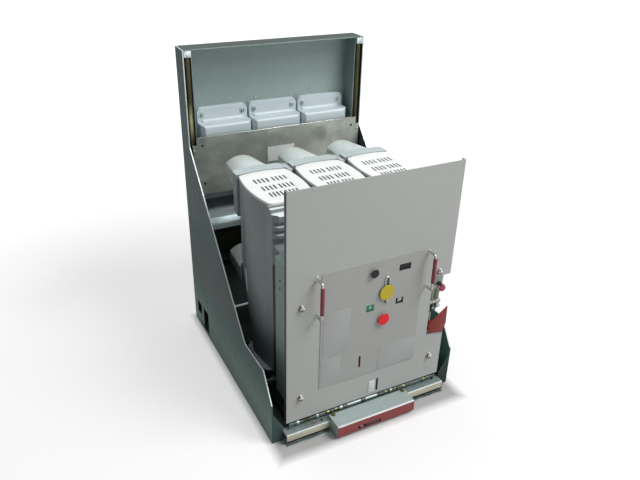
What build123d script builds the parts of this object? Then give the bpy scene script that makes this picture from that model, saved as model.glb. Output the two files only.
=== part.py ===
from build123d import *
import os

# All lengths are in millimetres. X runs to the right and Z up.
# Y runs backwards and is counted from the front edge of the side plates.
# The last step moves every piece so that the origin is the middle of the base,
# halfway between the racking unit's front and the back sheet.

# Cradle
WIDTH = 524.0
DEPTH = 598.0
HEIGHT = 834.0
SHEET = 3.0
THIN_SHEET = 2.0
FOOT_FLANGE = 30.0
FRONT_FOLD_OUTER = 98.0
FRONT_FOLD_INNER = 44.0
NOSE_Z = 116.0
STEP_Y = 50.0
STEP_Z = 190.0
SLOPE_FOOT_Y = 168.0
SLOPE_FOOT_Z = 187.0
SLOPE_TOP_Z = 583.0
POST_DEPTH = 62.0
POST_WIDTH = 22.0
LIP_SETBACK = 6.0

# Openings in the side plates, by their height and their distance from the back
KEY_SLOT_BACK = 66.0
KEY_SLOT_LOW = 377.0
KEY_SLOT_HIGH = 463.0
KEY_SLOT_WIDTH = 5.0
GUSSET_BACK = 89.0
GUSSET_RUN = 34.0
GUSSET_LOW = 8.0
GUSSET_HIGH = 78.0
DRAIN_BACK = 48.0
DRAIN_Z = 65.0
DRAIN_LENGTH = 36.0
DRAIN_WIDTH = 6.0
DRAIN_TURN = -42.0
SCREW_SEATS = ((314.0, 99.0), (237.0, 102.0))
SCREW_SEAT_RADIUS = 5.0

# Guide rods of the shutters
ROD_RADIUS = 7.0
ROD_SETBACK = 9.0
BRACKET_HEIGHT = 19.0

# Poles
POLE_FIELD_MARGIN = 37.0
POLE_GAP = 10.0
POLE_FRONT_Y = 100.0
POLE_FRONT_HALF = 57.0
POLE_SHOULDER_HALF = 60.0
POLE_SHOULDER_Y = 142.0
POLE_MIDDLE_Y = 232.0
POLE_BACK_HALF = 61.0
POLE_BACK_Y = 303.0
POLE_BULGE = 9.0
POLE_CORNER = 12.0
CAP_FRONT_Y = 127.0
CAP_TOP = 580.0
CAP_THICKNESS = 6.0
CAP_SEAM = 3.5
CAP_SEAM_DEPTH = 10.0
VENT_PITCH = 12.3
VENT_GROUP_GAP = 19.0
VENT_WIDTH = 4.6
VENT_LENGTH = 26.0
VENT_ROWS = (253.5, 209.0, 173.0)
FIN_DEPTH = 11.0
FIN_HEIGHT = 8.0
FIN_PITCH = 20.0
FIN_TOP = 551.0
FIN_COUNT = 2
SHOULDER_TOP = 569.0
SHOULDER_Y = 118.0
RECESS_BOTTOM = 487.0
LEDGE_BOTTOM = 460.0
LEDGE_OUT = 4.0
FOOT_TOP = 118.0
FOOT_HEIGHT = 12.0
FOOT_GAP = 1.0
FOOT_FRONT_Y = 124.0
FOOT_BACK_Y = 256.0
TAIL_TOP_Z = 350.0
TAIL_TOP_Y = 290.0
TAIL_LOW_Z = 205.0
TAIL_LOW_Y = 228.0
PAD_HALF = 9.0
PAD_X = 40.0
PAD_HEIGHTS = (220.0, 430.0)

# Heads and arm sleeves
HEAD_BACK_Y = 347.0
HEAD_GAP = 20.0
HEAD_CORNER = 14.0
HEAD_CORE_Y = 272.0
HEAD_CORE_HALF = 56.0
CHEEK_Y = 310.0
CHEEK_LOW = 470.0
CHEEK_TURN = 512.0
SLEEVE_ROOT_HALF = 50.0
SLEEVE_ROOT_SIDE = 13.0
SLEEVE_ROOT_TOP = 32.0
SLEEVE_TAPER = 0.81
SLEEVE_ARCH_SIDES = 12
SLEEVE_BELOW = 32.0
SLEEVE_LEDGE = 2.0
SLEEVE_WALL = 6.0
SLEEVE_FLOOR = 6.0
SLEEVE_BACK_Y = 455.0
UPPER_ARM_Z = 552.0
ARM_SPACING = 263.0
ARM_BLOCK_INSET = 2.0
ARM_BLOCK_RISE = 22.0

# Shutters
SHUTTER_SETBACK = 9.0
SHUTTER_FOLD = 8.0
UPPER_SHUTTER_BOTTOM = 442.0
UPPER_SHUTTER_TOP = 607.0
LOWER_SHUTTER_BOTTOM = 255.0
LOWER_SHUTTER_TOP = 328.0
SHUTTER_SIDE_GAP = 5.0
SHUTTER_END = 11.0
SHOE_LENGTH = 85.0
LOWER_SHOE_LENGTH = 60.0
SHOE_DROP = 22.0
LOWER_SHOE_DROP = 6.0
ROD_CLEARANCE = 0.8

# Cross piece
CROSS_TOP = 382.0
CROSS_BEND = 358.0
CROSS_SLOPE = 6.0
CROSS_LIP = 335.0
CROSS_GAP = 3.0
CROSS_REACH = 27.0
CROSS_TAB_WIDTH = 13.0

# Spout housings on the back sheet
SPOUT_GAP = 6.0
SPOUT_FLANGE = 15.0
SPOUT_STANDING = 37.0
SPOUT_BODY_HALF = 80.0
SPOUT_FLANGE_HALF = 118.0
SPOUT_MOUTH_GAP = 8.0
SPOUT_CORNER = 14.0
SPOUT_EDGE = 10.0
SPOUT_HOLLOW_EDGE = 9.0
SPOUT_MOUTH_CORNER = 18.0
SPOUT_BACK_WALL = 4.0

# Truck
PANEL_HALF = 224.0
PANEL_BOTTOM = 49.0
PANEL_TOP = 663.0
PANEL_FOLD = 18.0
CUT_LEFT = 172.0
CUT_BOTTOM = 180.0
CUT_TOP = 362.0
COVER_HALF = 138.0
COVER_BOTTOM = 128.0
COVER_TOP = 452.0
COVER_PROUD = 1.5
MECHANISM_HALF = 212.0
MECHANISM_BACK_Y = 86.0
MECHANISM_TOP = 472.0
MECHANISM_BOTTOM = 88.0
RELIEF_DEPTH = 40.0
RELIEF_MARGIN = 4.0
BASE_BOTTOM = 34.0
BASE_FRONT_Y = 20.0
BASE_HALF = 208.0
BASE_BACK_Y = 300.0

# Handles
HANDLE_X = 149.5
HANDLE_TOP_Z = 443.0
HANDLE_PITCH = 96.0
HANDLE_REACH = 27.0
HANDLE_RADIUS = 4.0
HANDLE_BEND = 10.0
HANDLE_BEND_STEPS = 4
HANDLE_SIDES = 8
HANDLE_FOOT = 13.0
HANDLE_FOOT_HEIGHT = 2.0
GRIP_RADIUS = 5.8
GRIP_GAP = 1.0

# Push buttons
ON_X = 0.0
ON_Z = 418.0
ON_RADIUS = 11.0
ON_STEM = 5.0
ON_FRONT_Y = -13.0
OFF_X = 35.0
OFF_Z = 281.0
OFF_RADIUS = 16.0
OFF_STEM = 8.0
OFF_FRONT_Y = -13.0
BUTTON_LIFT = 6.0
STEM_GAP = 0.6
STEM_BACK_Y = 12.0

# Spring socket disc with its staple
DISC_X = 37.4
DISC_Z = 357.5
DISC_RADIUS = 20.0
DISC_THICKNESS = 2.0
STAPLE_X = 36.5
STAPLE_HALF = 8.5
STAPLE_TOP = 402.0
STAPLE_STANDING = 7.0
STAPLE_BAR = 3.0

# Front rail and racking unit
RAIL_FRONT_Y = -19.0
RAIL_BACK_Y = 10.0
RAIL_TOP = 28.0
RAIL_LIP = 8.0
RAIL_GROOVE_Z = 15.0
RAIL_GROOVE = 1.2
RACK_HALF = 112.0
RACK_FRONT_Y = -60.0
RACK_BOTTOM = 8.0
RACK_TOP = 40.0
RACK_ROOF_BACK = -10.0
CRANK_LEFT = -55.0
CRANK_RIGHT = 12.0
CRANK_LOW = 12.0
CRANK_HIGH = 22.0
SHAFT_Y = 3.0
SHAFT_Z = 39.2
SHAFT_RADIUS = 3.0
SHAFT_MARGIN = 9.0
NUT_RADIUS = 4.8
TUBE_RADIUS = 4.4
TUBE_SIDES = 8
NUT_LENGTH = 7.0
NUT_PLACES = (-186.0, -160.0, -128.0, -100.0, -72.0, 44.0, 58.0, 84.0, 148.0, 178.0)
TUBES = ((-54.0, 41.0), (-1.0, 36.0), (102.0, 34.0))
BEARING_THICKNESS = 6.0

# Wheels of the truck on the running rails
RUNNING_Z = 86.0
RUNNING_FLANGE = 22.0
RUNNING_FRONT_Y = 60.0
RUNNING_BACK_GAP = 98.0
WHEEL_RADIUS = 11.7
WHEEL_GAP = 0.3
WHEEL_WIDTH = 12.0
WHEEL_SIDES = 24
WHEEL_INSET = 9.0
AXLE_HALF = 4.0
AXLE_PLACES = (110.0, 280.0)
EAR_GAP = 1.0

# Pieces in the cut-out of the panel
FLAG_Y = 5.0
KNOB_X = 207.0
KNOB_Z = 316.0
KNOB_RADIUS = 11.0
KNOB_SIDES = 24
LEVER_LEFT = 178.0
LEVER_RIGHT = 196.0
LEVER_LOW = 286.0
LEVER_HIGH = 330.0
LEVER_CORNER = 6.0
BARREL_Z = 265.0
BARREL_RADIUS = 9.0
BARREL_SIDES = 24

# Places that follow from the sizes above
PLATE_OUT = WIDTH / 2
PLATE_IN = PLATE_OUT - SHEET
SHEET_FRONT_Y = DEPTH - SHEET
POST_FRONT_Y = DEPTH - POST_DEPTH
POST_WALL = PLATE_IN - POST_WIDTH
ROD_X = (PLATE_IN + POST_WALL + THIN_SHEET) / 2
ROD_Y = POST_FRONT_Y + ROD_SETBACK
ROD_TOP = HEIGHT - BRACKET_HEIGHT
SHUTTER_Y = POST_FRONT_Y - SHUTTER_SETBACK
SHOE_OUT = PLATE_IN - SHUTTER_SIDE_GAP
SHUTTER_HALF = SHOE_OUT - SHUTTER_END
POLE_PITCH = (WIDTH - 2 * POLE_FIELD_MARGIN) / 3
POLE_MIDDLE_HALF = (POLE_PITCH - POLE_GAP) / 2
FOOT_HALF = (POLE_PITCH - FOOT_GAP) / 2
HEAD_HALF = (POLE_PITCH - HEAD_GAP) / 2
SPOUT_WIDTH = POLE_PITCH - SPOUT_GAP
SPOUT_FLANGE_Y = SHEET_FRONT_Y - SPOUT_FLANGE
SPOUT_FRONT_Y = SPOUT_FLANGE_Y - SPOUT_STANDING
LOWER_ARM_Z = UPPER_ARM_Z - ARM_SPACING
RAIL_HALF = PLATE_OUT - FOOT_FLANGE
BASE_WALL_TOP = MECHANISM_BOTTOM
WHEEL_X = PLATE_IN - WHEEL_INSET - WHEEL_WIDTH / 2
CAP_BOTTOM = CAP_TOP - CAP_THICKNESS


def block(x0, x1, y0, y1, z0, z1):
    """Plain block between two corners."""
    centre = Pos((x0 + x1) / 2, (y0 + y1) / 2, (z0 + z1) / 2)
    return centre * Box(x1 - x0, y1 - y0, z1 - z0)


def profile_yz(points, x0, x1):
    """Side profile given as Y and Z, drawn out from x0 to x1."""
    face = make_face(Polyline(*points, close=True))
    return extrude(Plane.YZ.offset(x0) * face, amount=x1 - x0)


def profile_xz(face, y0, y1):
    """Front profile given as X and Z, drawn out from y0 back to y1."""
    return extrude(Plane.XZ.offset(-y1) * face, amount=y1 - y0)


def profile_xy(face, z0, z1):
    """Plan profile drawn up from z0 to z1."""
    return extrude(Plane.XY.offset(z0) * face, amount=z1 - z0)


def window(x0, x1, z0, z1, radius):
    """Rounded rectangle seen from the front."""
    return Pos((x0 + x1) / 2, (z0 + z1) / 2) * RectangleRounded(x1 - x0, z1 - z0, radius)


def rod_y(x, z, radius, y0, y1):
    """Round rod along Y."""
    return profile_xz(Pos(x, z) * Circle(radius), y0, y1)


def rod_x(y, z, radius, x0, x1):
    """Round rod along X."""
    return extrude(Plane.YZ.offset(x0) * Pos(y, z) * Circle(radius), amount=x1 - x0)


def prism_x(y, z, radius, sides, x0, x1):
    """Bar of equal sides along X, such as a nut."""
    return extrude(Plane.YZ.offset(x0) * Pos(y, z) * RegularPolygon(radius, sides), amount=x1 - x0)


def left_of(part):
    """The same piece on the other side of the middle plane."""
    return mirror(part, about=Plane.YZ)


def side_plate():
    """Right side plate with its foot flange, its front fold and its openings."""
    outline = [
        (0, 0),
        (0, NOSE_Z),
        (STEP_Y, STEP_Z),
        (SLOPE_FOOT_Y, SLOPE_FOOT_Z),
        (POST_FRONT_Y, SLOPE_TOP_Z),
        (POST_FRONT_Y, HEIGHT),
        (DEPTH, HEIGHT),
        (DEPTH, 0),
    ]
    inner = PLATE_OUT - FOOT_FLANGE
    outer = PLATE_OUT
    fold = Polyline((inner, 0), (outer, 0), (outer, FRONT_FOLD_OUTER), (inner, FRONT_FOLD_INNER), close=True)
    plate = profile_yz(outline, PLATE_IN, PLATE_OUT)
    plate += block(inner, PLATE_OUT, 0, DEPTH, 0, SHEET)
    plate += profile_xz(make_face(fold), 0, THIN_SHEET)
    return plate - side_openings()


def side_openings():
    """Cutters of the right side plate's slots, holes and gusset window."""
    cut_in = PLATE_IN - 1
    cut_out = PLATE_OUT + 1
    slot_y = DEPTH - KEY_SLOT_BACK
    cutters = block(cut_in, cut_out, slot_y, slot_y + KEY_SLOT_WIDTH, KEY_SLOT_LOW, KEY_SLOT_HIGH)
    for y, z in SCREW_SEATS:
        cutters += prism_x(y, z, SCREW_SEAT_RADIUS, 12, cut_in, cut_out)
    back = DEPTH - GUSSET_BACK
    gusset = [(back - GUSSET_RUN, GUSSET_LOW), (back, GUSSET_LOW), (back, GUSSET_HIGH)]
    cutters += profile_yz(gusset, cut_in, cut_out)
    drain = Pos(DEPTH - DRAIN_BACK, DRAIN_Z) * Rectangle(DRAIN_LENGTH, DRAIN_WIDTH, rotation=DRAIN_TURN)
    return cutters + extrude(Plane.YZ.offset(cut_in) * drain, amount=cut_out - cut_in)


def truck_rail():
    """Right running rail of the truck, an angle on the inside of the side plate."""
    under = RUNNING_Z - THIN_SHEET
    angle = [
        (PLATE_IN, under),
        (PLATE_IN, RUNNING_Z + RUNNING_FLANGE),
        (PLATE_IN - THIN_SHEET, RUNNING_Z + RUNNING_FLANGE),
        (PLATE_IN - THIN_SHEET, RUNNING_Z),
        (PLATE_IN - RUNNING_FLANGE, RUNNING_Z),
        (PLATE_IN - RUNNING_FLANGE, under),
    ]
    return profile_xz(make_face(Polyline(*angle, close=True)), RUNNING_FRONT_Y, DEPTH - RUNNING_BACK_GAP)


def back_sheet():
    """Back sheet folded forward into the two posts and a deep lip along the top."""
    wall_front = POST_FRONT_Y + LIP_SETBACK
    plan = [
        (POST_WALL, wall_front),
        (POST_WALL + THIN_SHEET, wall_front),
        (POST_WALL + THIN_SHEET, SHEET_FRONT_Y),
        (PLATE_IN, SHEET_FRONT_Y),
        (PLATE_IN, DEPTH),
        (-PLATE_IN, DEPTH),
        (-PLATE_IN, SHEET_FRONT_Y),
        (-POST_WALL - THIN_SHEET, SHEET_FRONT_Y),
        (-POST_WALL - THIN_SHEET, wall_front),
        (-POST_WALL, wall_front),
        (-POST_WALL, SHEET_FRONT_Y),
        (POST_WALL, SHEET_FRONT_Y),
    ]
    sheet = profile_xy(make_face(Polyline(*plan, close=True)), SHEET, HEIGHT)
    sheet += block(-POST_WALL, POST_WALL, wall_front, SHEET_FRONT_Y, HEIGHT - SHEET, HEIGHT)
    bracket = block(POST_WALL + THIN_SHEET, PLATE_IN, POST_FRONT_Y + 1, SHEET_FRONT_Y, ROD_TOP, HEIGHT)
    return sheet + bracket + left_of(bracket)


def guide_rod():
    """Guide rod of the shutters on the right."""
    return Pos(ROD_X, ROD_Y, 0) * profile_xy(Circle(ROD_RADIUS), SHEET, ROD_TOP)


def cross_piece():
    """Folded cross piece between the upper and the lower row of spouts."""
    back = SPOUT_FRONT_Y - CROSS_GAP
    front = back - CROSS_REACH
    t = THIN_SHEET
    line = [
        (back, CROSS_TOP),
        (back, CROSS_BEND),
        (front, CROSS_BEND - CROSS_SLOPE),
        (front, CROSS_LIP),
        (front + t, CROSS_LIP),
        (front + t, CROSS_BEND - CROSS_SLOPE - t),
        (back + t, CROSS_BEND - t),
        (back + t, CROSS_TOP),
    ]
    sheet = profile_yz(line, -POST_WALL, POST_WALL)
    tab_top = (CROSS_TOP + CROSS_BEND) / 2
    tab = block(POST_WALL - CROSS_TAB_WIDTH, POST_WALL, back + t, SHEET_FRONT_Y, tab_top - t, tab_top)
    return sheet + tab + left_of(tab)


def spout_body(centre_z):
    """Outer shape of one spout standing out from the flange, with softened edges."""
    half = SPOUT_WIDTH / 2
    depth = SPOUT_FLANGE_Y - SPOUT_FRONT_Y
    middle_y = (SPOUT_FLANGE_Y + SPOUT_FRONT_Y) / 2
    side = Pos(middle_y, centre_z) * Rectangle(depth, 2 * SPOUT_BODY_HALF)
    side = fillet(side.vertices().sort_by(Axis.Y)[-2:].sort_by(Axis.X)[:1], SPOUT_EDGE)
    side = chamfer(side.vertices().sort_by(Axis.Y)[:2].sort_by(Axis.X)[:1], SPOUT_EDGE / 2)
    plan = Pos(0, middle_y) * Rectangle(2 * half, depth)
    plan = chamfer(plan.vertices().sort_by(Axis.Y)[:2], SPOUT_EDGE)
    upright = profile_xy(plan, centre_z - SPOUT_BODY_HALF, centre_z + SPOUT_BODY_HALF)
    return extrude(Plane.YZ.offset(-half) * side, amount=2 * half) & upright


def spout_cove(z):
    """Hollow moulding in the corner between the shelf of a spout and the flange."""
    radius = SPOUT_HOLLOW_EDGE
    half = SPOUT_WIDTH / 2 - SPOUT_CORNER
    cove = block(-half, half, SPOUT_FLANGE_Y - radius, SPOUT_FLANGE_Y, z, z + radius)
    return cove - rod_x(SPOUT_FLANGE_Y - radius, z + radius, radius, -half, half)


def spout_mouth(centre_z):
    """Way of the arm sleeve into one spout."""
    side = SLEEVE_ROOT_HALF + SPOUT_MOUTH_GAP
    low = centre_z - SLEEVE_BELOW - SPOUT_MOUTH_GAP
    high = centre_z + SLEEVE_ROOT_TOP + SPOUT_MOUTH_GAP
    face = Pos(0, (low + high) / 2) * Rectangle(2 * side, high - low)
    face = chamfer(face.vertices(), SPOUT_MOUTH_CORNER)
    return profile_xz(face, SPOUT_FRONT_Y - 1, SHEET_FRONT_Y - SPOUT_BACK_WALL)


def spout_housing(centre_x):
    """Moulded housing of one pole with the upper and the lower spout."""
    half = SPOUT_WIDTH / 2
    low = LOWER_ARM_Z - SPOUT_FLANGE_HALF
    high = UPPER_ARM_Z + SPOUT_FLANGE_HALF
    flange = Pos(0, (low + high) / 2) * Rectangle(2 * half, high - low)
    flange = fillet(flange.vertices().sort_by(Axis.Y)[-2:], SPOUT_CORNER)
    flange = chamfer(flange.vertices().sort_by(Axis.Y)[:2], SPOUT_CORNER / 2)
    housing = profile_xz(flange, SPOUT_FLANGE_Y, SHEET_FRONT_Y)
    for centre_z in (UPPER_ARM_Z, LOWER_ARM_Z):
        housing += spout_body(centre_z)
        housing += spout_cove(centre_z + SPOUT_BODY_HALF)
    for centre_z in (UPPER_ARM_Z, LOWER_ARM_Z):
        housing -= spout_mouth(centre_z)
    return Pos(centre_x, 0, 0) * housing


def shutter_ends(low, high, shoe_low, shoe_high):
    """Flat ends of a shutter and the shoes that slide along the guide rods."""
    fold_end = SHUTTER_HALF - SHUTTER_END
    ends = block(fold_end, SHUTTER_HALF, SHUTTER_Y, SHUTTER_Y + THIN_SHEET, low, high)
    shoe_back = ROD_Y - ROD_RADIUS - ROD_CLEARANCE
    ends += block(SHUTTER_HALF - THIN_SHEET, SHOE_OUT, SHUTTER_Y, shoe_back, shoe_low, shoe_high)
    return ends + left_of(ends)


def upper_shutter():
    """Upper shutter with its top fold and its shoes in front of the guide rods."""
    low = UPPER_SHUTTER_BOTTOM
    high = UPPER_SHUTTER_TOP
    t = THIN_SHEET
    y = SHUTTER_Y
    line = [(y, low), (y, high), (y + SHUTTER_FOLD, high), (y + SHUTTER_FOLD, high - t)]
    line += [(y + t, high - t), (y + t, low)]
    fold_end = SHUTTER_HALF - SHUTTER_END
    plate = profile_yz(line, -fold_end, fold_end)
    shoe_high = high - SHOE_DROP
    return plate + shutter_ends(low, high, shoe_high - SHOE_LENGTH, shoe_high)


def lower_shutter():
    """Lower shutter with its shoes in front of the guide rods."""
    low = LOWER_SHUTTER_BOTTOM
    high = LOWER_SHUTTER_TOP
    fold_end = SHUTTER_HALF - SHUTTER_END
    plate = block(-fold_end, fold_end, SHUTTER_Y, SHUTTER_Y + THIN_SHEET, low, high)
    shoe_high = high - LOWER_SHOE_DROP
    return plate + shutter_ends(low, high, shoe_high - LOWER_SHOE_LENGTH, shoe_high)


def front_rail():
    """Front cross rail, a channel with a lip along its foot and a groove along its face."""
    t = THIN_SHEET
    line = [
        (RAIL_FRONT_Y - RAIL_LIP, 0),
        (RAIL_FRONT_Y - RAIL_LIP, t),
        (RAIL_FRONT_Y, t),
        (RAIL_FRONT_Y, RAIL_TOP),
        (RAIL_BACK_Y, RAIL_TOP),
        (RAIL_BACK_Y, 0),
        (RAIL_BACK_Y - t, 0),
        (RAIL_BACK_Y - t, RAIL_TOP - t),
        (RAIL_FRONT_Y + t, RAIL_TOP - t),
        (RAIL_FRONT_Y + t, 0),
    ]
    rail = profile_yz(line, -RAIL_HALF, RAIL_HALF)
    g = RAIL_GROOVE
    mouth = RAIL_FRONT_Y - 1
    groove = [(mouth, RAIL_GROOVE_Z - g), (RAIL_FRONT_Y + g, RAIL_GROOVE_Z), (mouth, RAIL_GROOVE_Z + g)]
    return rail - profile_yz(groove, -RAIL_HALF - 1, RAIL_HALF + 1)


def racking_housing():
    """Galvanised housing of the racking screw in front of the rail."""
    t = THIN_SHEET
    face_y = RACK_FRONT_Y + t
    body = block(-RACK_HALF, RACK_HALF, face_y, RAIL_FRONT_Y, RACK_BOTTOM, RACK_TOP)
    body -= block(t - RACK_HALF, RACK_HALF - t, face_y - 1, RAIL_FRONT_Y - t, RACK_BOTTOM - 1, RACK_TOP - t)
    return body + block(-RACK_HALF, RACK_HALF, RACK_FRONT_Y, RACK_ROOF_BACK, RACK_TOP - t, RACK_TOP)


def racking_face():
    """Red front plate of the racking unit with the opening for the crank."""
    back = RACK_FRONT_Y + THIN_SHEET
    face = block(-RACK_HALF, RACK_HALF, RACK_FRONT_Y, back, RACK_BOTTOM, RACK_TOP - THIN_SHEET)
    return face - block(CRANK_LEFT, CRANK_RIGHT, RACK_FRONT_Y - 1, back + 1, CRANK_LOW, CRANK_HIGH)


def interlock_shaft():
    """Interlock shaft with its tubes, nuts and bearings on the front rail."""
    half = BASE_HALF + SHAFT_MARGIN
    shaft = prism_x(SHAFT_Y, SHAFT_Z, SHAFT_RADIUS, TUBE_SIDES, -half, half)
    for start, length in TUBES:
        shaft += prism_x(SHAFT_Y, SHAFT_Z, TUBE_RADIUS, TUBE_SIDES, start, start + length)
    for start in NUT_PLACES:
        shaft += prism_x(SHAFT_Y, SHAFT_Z, NUT_RADIUS, 6, start, start + NUT_LENGTH)
    reach = NUT_RADIUS - 0.5
    bearing_x = half - BEARING_THICKNESS
    bearing = block(bearing_x, half, SHAFT_Y - reach, SHAFT_Y + reach, RAIL_TOP, SHAFT_Z + reach)
    return shaft + bearing + left_of(bearing)


def stem_hole(x, z, stem):
    """Way of one push button's stem through the cover, the panel and the case."""
    reach = stem + STEM_GAP
    return block(x - reach, x + reach, -COVER_PROUD - 1, THIN_SHEET * 2 + 1, z - reach, z + reach)


def button_holes():
    """Holes for the stems of both push buttons."""
    return stem_hole(ON_X, ON_Z, ON_STEM) + stem_hole(OFF_X, OFF_Z, OFF_STEM)


def sight_windows():
    """Openings of the counter, the charge sign, the position sign and the key slot."""
    front = -COVER_PROUD - 1
    back = THIN_SHEET + 0.5
    openings = block(65, 102, front, back, 405, 430)
    openings += block(63, 89, front, back, 310, 336)
    openings += block(-20, 4, front, back, 309, 338)
    return openings + block(-30, -24, front, back, 153, 190)


def front_panel():
    """Front panel of the truck, a tray with folded sides and top and its openings."""
    half = PANEL_HALF
    t = THIN_SHEET
    panel = block(-half, half, 0, PANEL_FOLD, PANEL_BOTTOM, PANEL_TOP)
    panel -= block(t - half, half - t, t, PANEL_FOLD + 1, PANEL_BOTTOM - 1, PANEL_TOP - t)
    panel -= block(CUT_LEFT, half + 1, -1, PANEL_FOLD + 1, CUT_BOTTOM, CUT_TOP)
    panel -= block(28, 34, -1, t + 1, 59, 98)
    return panel - button_holes() - sight_windows()


def inner_cover():
    """Cover plate of the mechanism on the front panel."""
    cover = block(-COVER_HALF, COVER_HALF, -COVER_PROUD, 0, COVER_BOTTOM, COVER_TOP)
    return cover - button_holes() - sight_windows()


def mechanism_box():
    """Case of the drive mechanism behind the panel, open at the bottom."""
    half = MECHANISM_HALF
    t = THIN_SHEET
    case = block(-half, half, t, MECHANISM_BACK_Y, MECHANISM_BOTTOM, MECHANISM_TOP)
    case -= block(t - half, half - t, 2 * t, MECHANISM_BACK_Y - t, MECHANISM_BOTTOM - 1, MECHANISM_TOP - t)
    low = CUT_BOTTOM - RELIEF_MARGIN
    high = CUT_TOP + RELIEF_MARGIN
    left = CUT_LEFT - t
    case -= block(left, half + 1, 0, RELIEF_DEPTH, low, high)
    case += block(left - t, half, RELIEF_DEPTH, RELIEF_DEPTH + t, low - t, high + t)
    case += block(left - t, left, t, RELIEF_DEPTH + t, low - t, high + t)
    for z in (low - t, high):
        case += block(left - t, half, t, RELIEF_DEPTH + t, z, z + t)
    return case - button_holes()


def truck_wheel(y):
    """Right wheel of the truck with its stub axle and the ear that holds it."""
    z = RUNNING_Z + WHEEL_GAP + WHEEL_RADIUS
    half = WHEEL_WIDTH / 2
    wheel = prism_x(y, z, WHEEL_RADIUS, WHEEL_SIDES, WHEEL_X - half, WHEEL_X + half)
    axle = block(BASE_HALF - THIN_SHEET, WHEEL_X, y - AXLE_HALF, y + AXLE_HALF, z - AXLE_HALF, z + AXLE_HALF)
    reach = WHEEL_RADIUS + 3
    ear_top = FOOT_TOP - FOOT_HEIGHT - EAR_GAP
    ear = block(BASE_HALF - THIN_SHEET, BASE_HALF, y - reach, y + reach, BASE_WALL_TOP - 2, ear_top)
    return wheel + axle + ear


def truck_base():
    """Tray of the truck under the poles, folded up at the front and the sides, with its wheels."""
    half = BASE_HALF
    t = THIN_SHEET
    tray = block(-half, half, BASE_FRONT_Y, BASE_BACK_Y, BASE_BOTTOM, BASE_WALL_TOP)
    tray -= block(t - half, half - t, BASE_FRONT_Y + t, BASE_BACK_Y + 1, BASE_BOTTOM + t, BASE_WALL_TOP + 1)
    for y in AXLE_PLACES:
        wheel = truck_wheel(y)
        tray += wheel + left_of(wheel)
    return tray


def handle_rod(centre_x):
    """Bent rod of one handle with its two feet on the panel."""
    low = HANDLE_TOP_Z - HANDLE_PITCH
    centre_y = HANDLE_BEND - HANDLE_REACH
    upper = CenterArc((centre_y, HANDLE_TOP_Z - HANDLE_BEND), HANDLE_BEND, 90, 90)
    lower = CenterArc((centre_y, low + HANDLE_BEND), HANDLE_BEND, 180, 90)
    shares = [step / HANDLE_BEND_STEPS for step in range(HANDLE_BEND_STEPS + 1)]
    bends = [arc @ share for arc in (upper, lower) for share in shares]
    line = Plane.YZ.offset(centre_x) * Polyline((0, HANDLE_TOP_Z), *bends, (0, low))
    start = Plane(origin=(centre_x, 0, HANDLE_TOP_Z), z_dir=(0, -1, 0))
    rod = sweep(start * RegularPolygon(HANDLE_RADIUS, HANDLE_SIDES), path=line, transition=Transition.RIGHT)
    for z in (low, HANDLE_TOP_Z):
        foot = Pos(centre_x, z) * Rectangle(HANDLE_FOOT, HANDLE_FOOT)
        rod += profile_xz(foot, -HANDLE_FOOT_HEIGHT, 0)
    return rod


def handle_grip(centre_x):
    """Sleeve on the straight part of one handle."""
    low = HANDLE_TOP_Z - HANDLE_PITCH + HANDLE_BEND + GRIP_GAP
    high = HANDLE_TOP_Z - HANDLE_BEND - GRIP_GAP
    ring = RegularPolygon(GRIP_RADIUS, 2 * HANDLE_SIDES) - RegularPolygon(HANDLE_RADIUS, HANDLE_SIDES)
    return Pos(centre_x, -HANDLE_REACH, 0) * profile_xy(ring, low, high)


def push_button(x, z, radius, stem, front_y):
    """Push button with a round cap and a square stem through the panel."""
    back_y = -COVER_PROUD - BUTTON_LIFT
    cap = rod_y(x, z, radius, front_y, back_y)
    return cap + block(x - stem, x + stem, back_y, STEM_BACK_Y, z - stem, z + stem)


def spring_disc():
    """Yellow disc with its staple at the socket of the spring crank."""
    face = -COVER_PROUD
    disc = rod_y(DISC_X, DISC_Z, DISC_RADIUS, face - DISC_THICKNESS, face)
    left = STAPLE_X - STAPLE_HALF
    right = STAPLE_X + STAPLE_HALF
    bar = STAPLE_BAR
    front = face - STAPLE_STANDING
    staple = block(left, right, front, face, STAPLE_TOP - bar, STAPLE_TOP)
    for x in (left, right - bar):
        staple += block(x, x + bar, front, front + bar, DISC_Z, STAPLE_TOP)
        staple += block(x, x + bar, front, face - DISC_THICKNESS / 2, DISC_Z, DISC_Z + bar)
    return disc + staple


def interlock_flag():
    """Red flag plate behind the cut-out of the panel, on its arm."""
    points = [(228, 262), (176, 233), (175, 194), (222, 184), (230, 212)]
    flag = profile_xz(make_face(Polyline(*points, close=True)), FLAG_Y, FLAG_Y + THIN_SHEET)
    return flag + block(178, 186, FLAG_Y + THIN_SHEET, RELIEF_DEPTH, 198, 226)


def interlock_knob():
    """Red round knob of the interlock on its stem."""
    knob = profile_xz(Pos(KNOB_X, KNOB_Z) * RegularPolygon(KNOB_RADIUS, KNOB_SIDES), 4, 16)
    return knob + block(KNOB_X - 10, KNOB_X - 2, 16, RELIEF_DEPTH, KNOB_Z - 4, KNOB_Z + 4)


def interlock_lever():
    """Lever of the interlock with a softened top, on its foot."""
    middle = (LEVER_LEFT + LEVER_RIGHT) / 2
    height = LEVER_HIGH - LEVER_LOW
    face = Pos(middle, LEVER_LOW + height / 2) * Rectangle(LEVER_RIGHT - LEVER_LEFT, height)
    arm = profile_xz(chamfer(face.vertices().sort_by(Axis.Y)[-2:], LEVER_CORNER), 20, 24)
    return arm + block(middle - 4, middle + 4, 24, RELIEF_DEPTH, 298, 308)


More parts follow.
